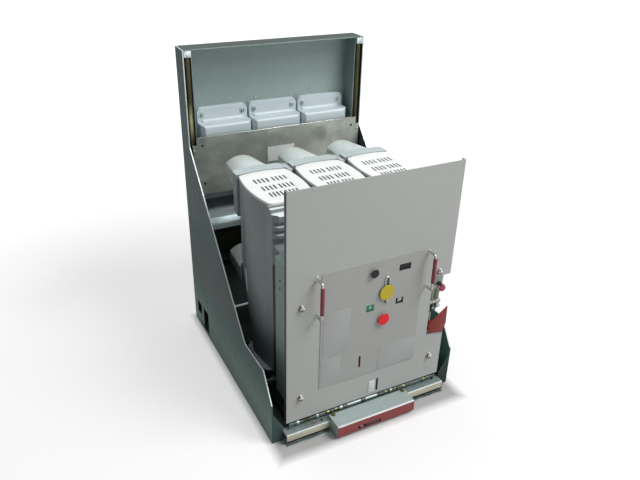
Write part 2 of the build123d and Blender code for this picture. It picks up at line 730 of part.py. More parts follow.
def lock_barrels():
    """Lock barrel with its collar in the cut-out, on its holder."""
    y = RELIEF_DEPTH / 2
    barrel = prism_x(y, BARREL_Z, BARREL_RADIUS, BARREL_SIDES, CUT_LEFT + 6, CUT_LEFT + 26)
    barrel += prism_x(y, BARREL_Z, BARREL_RADIUS - 2, 6, CUT_LEFT + 26, CUT_LEFT + 40)
    return barrel + block(CUT_LEFT + 10, CUT_LEFT + 30, y, RELIEF_DEPTH, BARREL_Z - 6, BARREL_Z + 6)


def pole_outline(front_y, grow, soften):
    """Plan of a pole: bulging sides, a curved back and a straight front whose corners are softened."""
    front = POLE_FRONT_HALF + grow
    shoulder = POLE_SHOULDER_HALF + grow
    middle = POLE_MIDDLE_HALF + grow
    back = POLE_BACK_HALF + grow
    front_y -= grow
    back_y = POLE_BACK_Y + grow
    right = ThreePointArc((shoulder, POLE_SHOULDER_Y), (middle, POLE_MIDDLE_Y), (back, back_y))
    rear = ThreePointArc((back, back_y), (0, back_y + POLE_BULGE), (-back, back_y))
    left = ThreePointArc((-back, back_y), (-middle, POLE_MIDDLE_Y), (-shoulder, POLE_SHOULDER_Y))
    corners = [(-shoulder, POLE_SHOULDER_Y), (-front, front_y), (front, front_y), (shoulder, POLE_SHOULDER_Y)]
    nose = Polyline(*corners)
    face = make_face(right + rear + left + nose)
    front_corners = face.vertices().sort_by(Axis.Y)[:2]
    face = soften(front_corners, POLE_CORNER)
    back_corners = face.vertices().filter_by(lambda v: abs(v.Y - back_y) < 1)
    return chamfer(back_corners, POLE_CORNER / 2)


def front_cutter():
    """Cutter of a pole's front: the stepped shoulder, the valleys between the fins and the recess."""
    face = POLE_FRONT_Y
    valley = POLE_FRONT_Y + FIN_DEPTH
    out = POLE_FRONT_Y - 20
    points = [(out, CAP_TOP), (CAP_FRONT_Y, CAP_TOP), (CAP_FRONT_Y, SHOULDER_TOP), (SHOULDER_Y, SHOULDER_TOP)]
    points += [(SHOULDER_Y, FIN_TOP + 9), (face + 3, FIN_TOP + 9), (face, FIN_TOP + 6)]
    top = FIN_TOP
    for _ in range(FIN_COUNT):
        points += [(face, top - FIN_HEIGHT), (valley, top - FIN_HEIGHT - 2)]
        points += [(valley, top - FIN_PITCH), (face, top - FIN_PITCH)]
        top -= FIN_PITCH
    points += [(face, top - FIN_HEIGHT), (valley, top - FIN_HEIGHT - 2), (valley, RECESS_BOTTOM)]
    points += [(face - LEDGE_OUT, LEDGE_BOTTOM), (out, LEDGE_BOTTOM)]
    return profile_yz(points, -POLE_MIDDLE_HALF - 5, POLE_MIDDLE_HALF + 5)


def pole_head():
    """Head behind the cap that carries the upper arm, with its tapered cheek."""
    plan = Pos(0, (CHEEK_Y + HEAD_BACK_Y) / 2) * Rectangle(2 * HEAD_HALF, HEAD_BACK_Y - CHEEK_Y)
    plan = fillet(plan.vertices().sort_by(Axis.Y)[-2:], HEAD_CORNER)
    head = profile_xy(plan, CHEEK_LOW, CAP_TOP)
    head += block(-HEAD_CORE_HALF, HEAD_CORE_HALF, HEAD_CORE_Y, CHEEK_Y, CHEEK_LOW, CAP_TOP)
    bend = ThreePointArc((CHEEK_Y, CHEEK_LOW), (HEAD_BACK_Y - 10, CHEEK_LOW + 14), (HEAD_BACK_Y, CHEEK_TURN))
    corner = [(HEAD_BACK_Y, CHEEK_TURN), (HEAD_BACK_Y + 1, CHEEK_LOW - 1)]
    corner += [(CHEEK_Y, CHEEK_LOW - 1), (CHEEK_Y, CHEEK_LOW)]
    below = make_face(bend + Polyline(*corner))
    head -= extrude(Plane.YZ.offset(-HEAD_HALF - 1) * below, amount=2 * HEAD_HALF + 2)
    seam = pole_outline(CAP_FRONT_Y, CAP_SEAM, fillet)
    return head - profile_xy(seam, CAP_BOTTOM - CAP_SEAM_DEPTH, CAP_TOP + 1)


def lower_arm_block():
    """Block at the back of a pole that carries the lower arm."""
    low = LOWER_ARM_Z - SLEEVE_BELOW + ARM_BLOCK_INSET
    high = LOWER_ARM_Z + SLEEVE_ROOT_TOP - ARM_BLOCK_INSET
    front = TAIL_LOW_Y
    side = SLEEVE_ROOT_HALF - ARM_BLOCK_INSET
    back = HEAD_BACK_Y
    points = [(front, low - ARM_BLOCK_RISE), (back, low), (back, high - 12), (back - 12, high)]
    points += [(front, high + ARM_BLOCK_RISE)]
    return profile_yz(points, -side, side)


def pole_housing(centre_x):
    """Moulded housing of one pole with its head, lower arm block, foot and mounting pads."""
    housing = profile_xy(pole_outline(POLE_FRONT_Y, 0, chamfer), FOOT_TOP - 1, CAP_BOTTOM) - front_cutter()
    out = POLE_FRONT_Y - LEDGE_OUT
    inner = POLE_FRONT_Y + FIN_DEPTH
    ledge = [(POLE_FRONT_Y, LEDGE_BOTTOM - 14), (out, LEDGE_BOTTOM - 10), (out, LEDGE_BOTTOM)]
    ledge += [(inner, RECESS_BOTTOM), (inner, LEDGE_BOTTOM - 14)]
    nose_half = POLE_FRONT_HALF - POLE_CORNER
    housing += profile_yz(ledge, -nose_half, nose_half)
    tail = [(POLE_BACK_Y + 30, FOOT_TOP - 2), (POLE_BACK_Y + 30, TAIL_TOP_Z + 30), (TAIL_TOP_Y, TAIL_TOP_Z)]
    tail += [(TAIL_LOW_Y, TAIL_LOW_Z), (TAIL_LOW_Y - 12, FOOT_TOP - 2)]
    housing -= profile_yz(tail, -POLE_MIDDLE_HALF - 5, POLE_MIDDLE_HALF + 5)
    housing += pole_head() + lower_arm_block()
    foot = Pos(0, (FOOT_FRONT_Y + FOOT_BACK_Y) / 2) * Rectangle(2 * FOOT_HALF, FOOT_BACK_Y - FOOT_FRONT_Y)
    foot = chamfer(foot.vertices(), POLE_CORNER)
    housing += profile_xy(foot, FOOT_TOP - FOOT_HEIGHT, FOOT_TOP)
    for x in (-PAD_X, PAD_X):
        for z in PAD_HEIGHTS:
            pad = Pos(x, z) * Rectangle(2 * PAD_HALF, 2 * PAD_HALF)
            housing += profile_xz(pad, MECHANISM_BACK_Y, POLE_FRONT_Y + 2)
    return Pos(centre_x, 0, 0) * housing


def pole_cap(centre_x):
    """Vented cap of one pole."""
    cap = profile_xy(pole_outline(CAP_FRONT_Y, 0, fillet), CAP_BOTTOM, CAP_TOP)
    start = VENT_GROUP_GAP / 2
    places = [start, start + VENT_PITCH, start + 2 * VENT_PITCH]
    for row in VENT_ROWS:
        for offset in places:
            for x in (-offset, offset):
                slot = Pos(x, row) * Rectangle(VENT_WIDTH, VENT_LENGTH)
                cap -= profile_xy(slot, CAP_BOTTOM - 1, CAP_TOP + 1)
    return Pos(centre_x, 0, 0) * cap


def sleeve_ring(y, inset, taper):
    """Corners of an arm sleeve's arched cross-section, drawn in towards its foot by the taper."""
    half = SLEEVE_ROOT_HALF - inset
    arch_half = half - SLEEVE_LEDGE
    side = SLEEVE_ROOT_SIDE
    ledge = side - SLEEVE_LEDGE
    low = inset - SLEEVE_BELOW
    arch = ThreePointArc((-arch_half, side), (0, SLEEVE_ROOT_TOP - inset), (arch_half, side))
    crown = [arch @ (step / SLEEVE_ARCH_SIDES) for step in range(SLEEVE_ARCH_SIDES + 1)]
    corners = [(point.X, point.Y) for point in crown]
    corners += [(half, ledge), (half, low), (-half, low), (-half, ledge)]
    return [(x * taper, y, low + (z - low) * taper) for x, z in corners]


def sleeve_taper(front_y, back_y, inset):
    """Tapered body of an arm sleeve from its root on the pole to its rim."""
    front = sleeve_ring(front_y, inset, 1)
    back = sleeve_ring(back_y, inset, SLEEVE_TAPER)
    faces = [make_face(Polyline(*ring, close=True)) for ring in (front, back)]
    for i in range(len(front)):
        faces.append(make_face(Polyline(front[i - 1], front[i], back[i], back[i - 1], close=True)))
    return Solid(Shell(faces))


def arm_sleeve(centre_x, centre_z):
    """Insulating sleeve around one contact arm, tapered and open at the back."""
    sleeve = sleeve_taper(HEAD_BACK_Y, SLEEVE_BACK_Y, 0)
    sleeve -= sleeve_taper(HEAD_BACK_Y + SLEEVE_FLOOR, SLEEVE_BACK_Y + SLEEVE_LEDGE, SLEEVE_WALL)
    return Pos(centre_x, 0, centre_z) * sleeve


def all_pieces():
    """Every piece under its name."""
    pieces = {
        "right_side_plate": side_plate(),
        "left_side_plate": left_of(side_plate()),
        "right_truck_rail": truck_rail(),
        "left_truck_rail": left_of(truck_rail()),
        "back_sheet": back_sheet(),
        "right_guide_rod": guide_rod(),
        "left_guide_rod": left_of(guide_rod()),
        "cross_piece": cross_piece(),
        "upper_shutter": upper_shutter(),
        "lower_shutter": lower_shutter(),
        "front_rail": front_rail(),
        "racking_housing": racking_housing(),
        "racking_face": racking_face(),
        "interlock_shaft": interlock_shaft(),
        "front_panel": front_panel(),
        "inner_cover": inner_cover(),
        "mechanism_box": mechanism_box(),
        "truck_base": truck_base(),
        "left_handle": handle_rod(-HANDLE_X),
        "right_handle": handle_rod(HANDLE_X),
        "left_grip": handle_grip(-HANDLE_X),
        "right_grip": handle_grip(HANDLE_X),
        "on_button": push_button(ON_X, ON_Z, ON_RADIUS, ON_STEM, ON_FRONT_Y),
        "off_button": push_button(OFF_X, OFF_Z, OFF_RADIUS, OFF_STEM, OFF_FRONT_Y),
        "spring_disc": spring_disc(),
        "interlock_flag": interlock_flag(),
        "interlock_knob": interlock_knob(),
        "interlock_lever": interlock_lever(),
        "lock_barrels": lock_barrels(),
    }
    for number, centre_x in enumerate((-POLE_PITCH, 0, POLE_PITCH), start=1):
        pieces[f"spout_housing_{number}"] = spout_housing(centre_x)
        pieces[f"pole_housing_{number}"] = pole_housing(centre_x)
        pieces[f"pole_cap_{number}"] = pole_cap(centre_x)
        pieces[f"upper_sleeve_{number}"] = arm_sleeve(centre_x, UPPER_ARM_Z)
        pieces[f"lower_sleeve_{number}"] = arm_sleeve(centre_x, LOWER_ARM_Z)
    return pieces


os.makedirs("parts", exist_ok=True)
for name, piece in all_pieces().items():
    export_step(Pos(0, -(DEPTH + RACK_FRONT_Y) / 2, 0) * piece, f"parts/{name}.step")
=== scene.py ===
import logging
import math
from dataclasses import dataclass, replace
from enum import Enum

import bmesh
import bpy
from mathutils import Matrix, Vector


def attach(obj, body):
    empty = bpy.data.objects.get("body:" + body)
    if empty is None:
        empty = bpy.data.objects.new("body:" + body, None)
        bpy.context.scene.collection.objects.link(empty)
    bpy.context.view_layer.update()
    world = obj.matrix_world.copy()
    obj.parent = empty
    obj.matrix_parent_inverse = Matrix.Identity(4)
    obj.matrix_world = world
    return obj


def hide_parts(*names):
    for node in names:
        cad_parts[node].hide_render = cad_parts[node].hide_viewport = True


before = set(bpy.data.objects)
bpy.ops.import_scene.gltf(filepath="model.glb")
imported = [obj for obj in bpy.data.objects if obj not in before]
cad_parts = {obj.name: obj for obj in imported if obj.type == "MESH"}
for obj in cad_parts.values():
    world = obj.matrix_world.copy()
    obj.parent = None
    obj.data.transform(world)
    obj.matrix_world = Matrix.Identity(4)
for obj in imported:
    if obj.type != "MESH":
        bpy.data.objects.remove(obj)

log = logging.getLogger("breaker")
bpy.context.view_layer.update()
FRONT_OFFSET = 269.0
MM_PER_METRE = 1000.0
WHITE = (1.0, 1.0, 1.0, 1.0)
Colour = tuple[float, float, float]
Point = tuple[float, float, float]


def rgba(colour: Colour) -> tuple[float, float, float, float]:
    """Turns a colour as seen on a screen into the linear one that shaders take.

    Args:
        colour: Red, green and blue from 0 to 1.

    Returns:
        The linear colour with full opacity.
    """
    return tuple(c / 12.92 if c <= 0.04045 else ((c + 0.055) / 1.055) ** 2.4 for c in colour) + (1.0,)


class Tree:
    """Short way to fill a node tree."""

    def __init__(self, tree: bpy.types.NodeTree) -> None:
        """Keeps the tree that is filled."""
        self.tree = tree

    def add(self, kind: str, values: dict | None = None, **settings: object) -> bpy.types.Node:
        """Adds a node.

        Args:
            kind: Blender's name of the node type, without its leading ShaderNode.
            values: Input names or numbers with a constant or the socket that feeds them.
            settings: Properties of the node.

        Returns:
            The new node.
        """
        node = self.tree.nodes.new(f"ShaderNode{kind}")
        for key, value in settings.items():
            setattr(node, key, value)
        for key, value in (values or {}).items():
            if isinstance(value, bpy.types.NodeSocket):
                self.tree.links.new(value, node.inputs[key])
            else:
                node.inputs[key].default_value = value
        return node

    def math(
        self, operation: str, first: object, second: object = 0.0, clamp: bool = False
    ) -> bpy.types.NodeSocket:
        """Adds a Math node and returns its output."""
        return self.add("Math", {0: first, 1: second}, operation=operation, use_clamp=clamp).outputs[0]

    def mix(self, factor: object, first: object, second: object) -> bpy.types.NodeSocket:
        """Adds a colour mix and returns its output."""
        return self.add("Mix", {0: factor, 6: first, 7: second}, data_type="RGBA").outputs[2]

    def noise(self, place: object, scale: object, detail: float = 2.0) -> bpy.types.NodeSocket:
        """Adds a noise and returns its strength."""
        return self.add("TexNoise", {"Vector": place, "Scale": scale, "Detail": detail}).outputs["Fac"]

    def dot(self, first: object, second: object) -> bpy.types.NodeSocket:
        """Adds a scalar product of two directions and returns its output."""
        return self.add("VectorMath", {0: first, 1: second}, operation="DOT_PRODUCT").outputs["Value"]

    def feed(self, value: bpy.types.NodeSocket, node: bpy.types.Node, name: object) -> None:
        """Links an output to a named or numbered input of a node."""
        self.tree.links.new(value, node.inputs[name])

    def span(
        self, value: object, low: float, high: float, out_low: float = 0.0, out_high: float = 1.0
    ) -> bpy.types.NodeSocket:
        """Adds a clamped Map Range and returns its output."""
        return self.add("MapRange", {0: value, 1: low, 2: high, 3: out_low, 4: out_high}).outputs[0]


def emptied(owner: bpy.types.ID) -> Tree:
    """Clears the node tree of a material or of the sky.

    Args:
        owner: The material or the sky.

    Returns:
        Its empty tree.
    """
    owner.use_nodes = True
    owner.node_tree.nodes.clear()
    return Tree(owner.node_tree)


def placed(name: str, data: bpy.types.ID) -> bpy.types.Object:
    """Makes an object of a mesh, camera or lamp.

    Args:
        name: Name of the object.
        data: What it shows.

    Returns:
        The object, linked to the scene.
    """
    made = bpy.data.objects.new(name, data)
    bpy.context.scene.collection.objects.link(made)
    return made


class Effect(Enum):
    """Surface effects that several finishes share."""

    MOTTLE = "mottle"
    SPANGLE = "spangle"
    BRUSHED = "brushed"
    GRAIN = "grain"
    CUT_EDGE = "cut_edge"
    WORN_EDGE = "worn_edge"
    DUST = "dust"
    SOFT_EDGE = "soft_edge"
    FACING = "facing"


class EffectBench:
    """Makes each shared effect once, as a shader node group."""

    def __init__(self) -> None:
        """Builds every group."""
        self.groups = {effect: getattr(self, f"_{effect.value}")() for effect in Effect}

    def _start(self, name: str, inputs: dict, outputs: dict) -> tuple[Tree, bpy.types.Node, bpy.types.Node]:
        """Starts a group with its sockets.

        Args:
            name: Name of the group.
            inputs: Input names with their default values.
            outputs: Output names with their socket types.

        Returns:
            The tree, its input node and its output node.
        """
        group = bpy.data.node_groups.new(name, "ShaderNodeTree")
        for label, value in inputs.items():
            kind = "NodeSocketFloat"
            if isinstance(value, tuple):
                kind = "NodeSocketColor" if len(value) == 4 else "NodeSocketVector"
            socket = group.interface.new_socket(name=label, in_out="INPUT", socket_type=kind)
            socket.default_value = value
        for label, kind in outputs.items():
            group.interface.new_socket(name=label, in_out="OUTPUT", socket_type=kind)
        tree = Tree(group)
        source = group.nodes.new("NodeGroupInput")
        sink = group.nodes.new("NodeGroupOutput")
        return tree, source, sink

    def _mottle(self) -> bpy.types.NodeTree:
        """Soft clouds between two colours, as in handling marks and uneven passivation.

        Returns:
            The group.
        """
        inputs = {
            "Color": (0.5, 0.5, 0.5, 1.0), "Deep Color": (0.3, 0.3, 0.3, 1.0), "Scale": 6.0, "Amount": 0.5
        }
        tree, source, sink = self._start(
            "mottle", inputs, {"Color": "NodeSocketColor", "Mask": "NodeSocketFloat"}
        )
        place = tree.add("TexCoord").outputs["Object"]
        large = tree.noise(place, source.outputs["Scale"], 4.0)
        fine = tree.noise(place, tree.math("MULTIPLY", source.outputs["Scale"], 9.0), 3.0)
        blend = tree.math("ADD", tree.math("MULTIPLY", large, 0.75), tree.math("MULTIPLY", fine, 0.25))
        mask = tree.math("MULTIPLY", tree.span(blend, 0.36, 0.66), source.outputs["Amount"])
        tree.feed(tree.mix(mask, source.outputs["Color"], source.outputs["Deep Color"]), sink, "Color")
        tree.feed(mask, sink, "Mask")
        return tree.tree

    def _spangle(self) -> bpy.types.NodeTree:
        """Crystal pattern of galvanised sheet.

        Returns:
            The group.
        """
        outputs = {"Tone": "NodeSocketFloat", "Height": "NodeSocketFloat"}
        tree, source, sink = self._start("spangle", {"Scale": 90.0, "Amount": 1.0}, outputs)
        place = tree.add("TexCoord").outputs["Object"]
        cells = tree.add("TexVoronoi", {"Vector": place, "Scale": source.outputs["Scale"], "Randomness": 1.0})
        value = tree.add("SeparateColor", {0: cells.outputs["Color"]}).outputs[0]
        veins = tree.noise(place, tree.math("MULTIPLY", source.outputs["Scale"], 3.0))
        tone = tree.math("ADD", tree.math("MULTIPLY", value, 0.7), tree.math("MULTIPLY", veins, 0.3))
        tree.feed(tree.math("MULTIPLY", tone, source.outputs["Amount"]), sink, "Tone")
        tree.feed(cells.outputs["Distance"], sink, "Height")
        return tree.tree

    def _brushed(self) -> bpy.types.NodeTree:
        """Fine parallel lines of rolled or brushed metal.

        Returns:
            The group.
        """
        inputs = {"Stretch": (1.0, 1.0, 30.0), "Scale": 40.0, "Amount": 1.0}
        outputs = {"Tone": "NodeSocketFloat", "Height": "NodeSocketFloat"}
        tree, source, sink = self._start("brushed", inputs, outputs)
        place = tree.add("TexCoord").outputs["Object"]
        drawn = tree.add(
            "VectorMath", {0: place, 1: source.outputs["Stretch"]}, operation="MULTIPLY"
        ).outputs[0]
        lines = tree.noise(drawn, source.outputs["Scale"], 5.0)
        tree.feed(tree.math("MULTIPLY", lines, source.outputs["Amount"]), sink, "Tone")
        tree.feed(lines, sink, "Height")
        return tree.tree

    def _grain(self) -> bpy.types.NodeTree:
        """Fine pebbled skin of moulded plastic and powder coat.

        Returns:
            The group.
        """
        tree, source, sink = self._start(
            "grain", {"Scale": 900.0, "Unevenness": 0.5}, {"Height": "NodeSocketFloat"}
        )
        place = tree.add("TexCoord").outputs["Object"]
        pebbles = tree.noise(place, source.outputs["Scale"], 2.0)
        waves = tree.noise(place, 14.0, 2.0)
        height = tree.math("ADD", pebbles, tree.math("MULTIPLY", waves, source.outputs["Unevenness"]))
        tree.feed(height, sink, "Height")
        return tree.tree

    def _cut_edge(self) -> bpy.types.NodeTree:
        """Mask of the cut faces of a sheet whose broad faces look along an axis.

        Returns:
            The group.
        """
        inputs = {"Axis": (1.0, 0.0, 0.0), "Above": 0.0}
        tree, source, sink = self._start("cut_edge", inputs, {"Mask": "NodeSocketFloat"})
        place = tree.add("TexCoord")
        along = tree.dot(place.outputs["Normal"], source.outputs["Axis"])
        height = tree.add("SeparateXYZ", {0: place.outputs["Object"]}).outputs[2]
        high = tree.math("GREATER_THAN", height, source.outputs["Above"])
        cut = tree.span(tree.math("ABSOLUTE", along), 0.35, 0.15)
        tree.feed(tree.math("MULTIPLY", cut, high), sink, "Mask")
        return tree.tree

    def _facing(self) -> bpy.types.NodeTree:
        """Mask of the faces that look along an axis, between two heights, where painted light or shade goes.

        Returns:
            The group.
        """
        inputs = {"Axis": (0.0, -1.0, 0.0), "Low": -1.0, "High": 2.0, "Blend": 0.01}
        tree, source, sink = self._start("facing", inputs, {"Mask": "NodeSocketFloat"})
        place = tree.add("TexCoord")
        along = tree.dot(place.outputs["Normal"], source.outputs["Axis"])
        height = tree.add("SeparateXYZ", {0: place.outputs["Object"]}).outputs[2]
        rise = tree.math(
            "DIVIDE", tree.math("SUBTRACT", height, source.outputs["Low"]), source.outputs["Blend"], True
        )
        fall = tree.math(
            "DIVIDE", tree.math("SUBTRACT", source.outputs["High"], height), source.outputs["Blend"], True
        )
        band = tree.math("MULTIPLY", rise, fall)
        tree.feed(tree.math("MULTIPLY", tree.span(along, 0.4, 0.8), band), sink, "Mask")
        return tree.tree

    def _worn_edge(self) -> bpy.types.NodeTree:
        """Mask of corners with rubbing and a painted highlight, broken up so that it isn't even.

        Returns:
            The group.
        """
        inputs = {"Radius": 0.0012, "Amount": 1.0}
        tree, source, sink = self._start("worn_edge", inputs, {"Mask": "NodeSocketFloat"})
        rounded = tree.add("Bevel", {"Radius": source.outputs["Radius"]}, samples=4).outputs[0]
        flat = tree.add("NewGeometry").outputs["Normal"]
        same = tree.dot(rounded, flat)
        place = tree.add("TexCoord").outputs["Object"]
        broken = tree.noise(place, 60.0, 4.0)
        rub_and_highlight_mask = tree.math("MULTIPLY", tree.span(same, 0.995, 0.93), tree.span(broken, 0.35, 0.6))
        tree.feed(tree.math("MULTIPLY", rub_and_highlight_mask, source.outputs["Amount"]), sink, "Mask")
        return tree.tree

    def _dust(self) -> bpy.types.NodeTree:
        """Mask of dust that settles on faces that look up.

        Returns:
            The group.
        """
        tree, source, sink = self._start("dust", {"Amount": 0.3}, {"Mask": "NodeSocketFloat"})
        coordinates = tree.add("TexCoord")
        up = tree.add("SeparateXYZ", {0: coordinates.outputs["Normal"]}).outputs[2]
        specks = tree.noise(coordinates.outputs["Object"], 35.0, 6.0)
        settled = tree.math("MULTIPLY", tree.span(up, 0.4, 0.9), tree.span(specks, 0.35, 0.75))
        tree.feed(tree.math("MULTIPLY", settled, source.outputs["Amount"]), sink, "Mask")
        return tree.tree

    def _soft_edge(self) -> bpy.types.NodeTree:
        """Normal that rounds the corners of folded sheet and moulded pieces.

        Returns:
            The group.
        """
        tree, source, sink = self._start("soft_edge", {"Radius": 0.0012}, {"Normal": "NodeSocketVector"})
        rounded = tree.add("Bevel", {"Radius": source.outputs["Radius"]}, samples=6).outputs[0]
        tree.feed(rounded, sink, "Normal")
        return tree.tree


SHADE_DEPTH = 0.88
DUST_COLOUR = (0.78, 0.77, 0.74)
BUMP_DISTANCE = 0.0004
SPANGLE_BUMP = 0.05
BRUSHED_BUMP = 0.08


@dataclass(frozen=True)
class Shade:
    """Painted light or shade that a finish takes on the faces that look along an axis, between two heights in
    metres.
    """

    axis: Point
    low: float
    high: float
    blend: float
    colour: Colour


@dataclass(frozen=True)
class Finish:
    """One finish: its colours, its gloss and the effects laid over it."""

    name: str
    slot: str
    colour: Colour
    deep: Colour
    # Colour of the cut faces and corners, lighter than the face: partly bare metal and rubbing, partly a
    # painted highlight.
    edge: Colour | None = None
    metallic: float = 0.0
    roughness: float = 0.5
    roughness_spread: float = 0.12
    mottle_scale: float = 6.0
    mottle: float = 0.5
    spangle: float = 0.0
    spangle_scale: float = 90.0
    brushed: float = 0.0
    stretch: Point = (1.0, 1.0, 30.0)
    grain: float = 0.0
    sheet_axis: Point | None = None
    # Share of the edge colour on the corners: partly rubbing, partly a painted highlight.
    rub_and_highlight: float = 0.0
    dust: float = 0.0
    coat: float = 0.0
    soft: float = 0.0
    edge_above: float = -1.0
    shades: tuple[Shade, ...] = ()

    def material(self, bench: EffectBench) -> bpy.types.Material:
        """Builds the material.

        Args:
            bench: Holder of the shared effects.

        Returns:
            The new material.
        """
        material = bpy.data.materials.new(self.name)
        tree = emptied(material)
        clouds = {"Color": rgba(self.colour), "Deep Color": rgba(self.deep)}
        clouds |= {"Scale": self.mottle_scale, "Amount": self.mottle}
        base = self._effect(tree, bench, Effect.MOTTLE, clouds)
        colour = base.outputs["Color"]
        rough = tree.span(
            base.outputs["Mask"], 0.0, 1.0, self.roughness, self.roughness + self.roughness_spread
        )
        heights = []
        if self.spangle:
            crystals = self._effect(
                tree, bench, Effect.SPANGLE, {"Scale": self.spangle_scale, "Amount": self.spangle}
            )
            colour = tree.mix(crystals.outputs["Tone"], colour, rgba(self.deep))
            heights.append((crystals.outputs["Height"], SPANGLE_BUMP))
        if self.brushed:
            lines = self._effect(
                tree, bench, Effect.BRUSHED, {"Stretch": self.stretch, "Amount": self.brushed}
            )
            colour = tree.mix(lines.outputs["Tone"], colour, rgba(self.deep))
            heights.append((lines.outputs["Height"], BRUSHED_BUMP))
        if self.grain:
            skin = self._effect(tree, bench, Effect.GRAIN, {})
            heights.append((skin.outputs["Height"], self.grain))
        # Painted light and shade: each tone recolours the faces that look its way.
        for shade in self.shades:
            values = {"Axis": shade.axis, "Low": shade.low, "High": shade.high, "Blend": shade.blend}
            side = self._effect(tree, bench, Effect.FACING, values)
            deeper = rgba(tuple(SHADE_DEPTH * channel for channel in shade.colour))
            toned = tree.mix(base.outputs["Mask"], rgba(shade.colour), deeper)
            colour = tree.mix(side.outputs["Mask"], colour, toned)
        # Cut faces take the lighter edge colour: bare cut metal with a painted highlight.
        if self.edge and self.sheet_axis:
            cut = self._effect(
                tree, bench, Effect.CUT_EDGE, {"Axis": self.sheet_axis, "Above": self.edge_above}
            )
            colour = tree.mix(cut.outputs["Mask"], colour, rgba(self.edge))
        # Corners take the lighter edge colour: rubbing with a painted highlight.
        if self.edge and self.rub_and_highlight:
            rub_and_highlight_node = self._effect(tree, bench, Effect.WORN_EDGE, {"Amount": self.rub_and_highlight})
            colour = tree.mix(rub_and_highlight_node.outputs["Mask"], colour, rgba(self.edge))
        if self.dust:
            film = self._effect(tree, bench, Effect.DUST, {"Amount": self.dust})
            colour = tree.mix(film.outputs["Mask"], colour, rgba(DUST_COLOUR))
        values = {
            "Base Color": colour, "Roughness": rough, "Metallic": self.metallic, "Coat Weight": self.coat
        }
        shader = tree.add("BsdfPrincipled", values)
        normal = None
        if self.soft:
            normal = self._effect(tree, bench, Effect.SOFT_EDGE, {"Radius": self.soft}).outputs["Normal"]
        self._bump(tree, shader, heights, normal)
        tree.feed(shader.outputs[0], tree.add("OutputMaterial"), 0)
        return material

    def _effect(self, tree: Tree, bench: EffectBench, effect: Effect, values: dict) -> bpy.types.Node:
        """Places a shared effect with this finish's own values.

        Args:
            tree: Tree of the material.
            bench: Holder of the shared effects.
            effect: Effect that is placed.
            values: Values of its inputs.

        Returns:
            The node of the group.
        """
        node = tree.add("Group", node_tree=bench.groups[effect])
        for label, value in values.items():
            node.inputs[label].default_value = value
        return node

    def _bump(self, tree: Tree, shader: bpy.types.Node, heights: list, normal: object) -> None:
        """Feeds the heights of the effects, laid over the rounded corners, to the shader's normal.

        Args:
            tree: Tree of the material.
            shader: Shader that takes the normal.
            heights: Each effect's height with the strength of its bump.
            normal: Normal of the rounded corners, or None.
        """
        for height, strength in heights:
            values = {"Height": height, "Strength": strength, "Distance": BUMP_DISTANCE}
            if normal is not None:
                values["Normal"] = normal
            normal = tree.add("Bump", values).outputs[0]
        if normal is not None:
            tree.feed(normal, shader, "Normal")


TO_LEFT = (-1.0, 0.0, 0.0)
TO_FRONT = (0.0, -1.0, 0.0)
UPWARD = (0.0, 0.0, 1.0)
BELOW_ALL = -1.0
ABOVE_ALL = 2.0
# Painted reflection and shade on the side plates: darker front folds, a darker blue-grey upper outer face,
# lighter lower faces and feet, and a lighter inner face on the far plate.
FOLD_PAINTED_SHADE = Shade(TO_FRONT, BELOW_ALL, 0.118, 0.002, (0.25, 0.34, 0.33))
FAR_FOLD_PAINTED_SHADE = Shade(TO_FRONT, BELOW_ALL, 0.118, 0.002, (0.13, 0.215, 0.20))
SIDE_HIGH_PAINTED_SHADE = Shade(TO_LEFT, 0.22, ABOVE_ALL, 0.12, (0.20, 0.32, 0.33))
SIDE_LOW_PAINTED_SHADE = Shade(TO_LEFT, BELOW_ALL, 0.22, 0.08, (0.31, 0.45, 0.43))
SIDE_FOOT_PAINTED_LIGHT = Shade(TO_LEFT, BELOW_ALL, 0.14, 0.08, (0.49, 0.59, 0.54))
FAR_INNER_PAINTED_LIGHT = Shade(TO_LEFT, BELOW_ALL, 0.40, 0.05, (0.46, 0.62, 0.57))
# Painted shade on the back sheet's top lip and painted light on its front face between 0.62 m and 0.74 m
# high, over a base coloured darker for the shaded upper part.
TOP_PAINTED_SHADE = Shade(UPWARD, 0.82, ABOVE_ALL, 0.004, (0.27, 0.33, 0.31))
BACK_PAINTED_LIGHT = Shade(TO_FRONT, 0.62, 0.74, 0.05, (0.61, 0.68, 0.67))
# Painted highlight on the front faces of the guide rod between 0.60 m and 0.70 m high.
ROD_PAINTED_HIGHLIGHT = Shade((-0.55, -0.84, 0.0), 0.60, 0.70, 0.05, (0.80, 0.80, 0.60))
# Painted shade on the panel's left fold and painted light on the cover's left edge.
PANEL_SIDE_PAINTED_SHADE = Shade(TO_LEFT, BELOW_ALL, ABOVE_ALL, 0.01, (0.36, 0.385, 0.375))
COVER_SIDE_PAINTED_LIGHT = Shade(TO_LEFT, BELOW_ALL, ABOVE_ALL, 0.01, (0.86, 0.87, 0.86))
# Painted shade low on the poles' left sides and black painted shade on their front faces in the gap beside
# the mechanism box; painted light on the fin and head tops.
POLE_LOW_PAINTED_SHADE = Shade(TO_LEFT, BELOW_ALL, 0.34, 0.14, (0.42, 0.465, 0.475))
POLE_GAP_PAINTED_SHADE = Shade(TO_FRONT, BELOW_ALL, 0.44, 0.01, (0.06, 0.07, 0.07))
FIN_TOP_PAINTED_LIGHT = Shade(UPWARD, 0.30, 0.572, 0.002, (0.95, 0.97, 0.97))
HEAD_TOP_PAINTED_LIGHT = Shade(UPWARD, 0.572, 0.70, 0.001, (0.745, 0.785, 0.79))
# Painted shade on the front faces of the spout housings below 0.405 m.
SPOUT_LOW_PAINTED_SHADE = Shade(TO_FRONT, BELOW_ALL, 0.405, 0.004, (0.34, 0.41, 0.42))
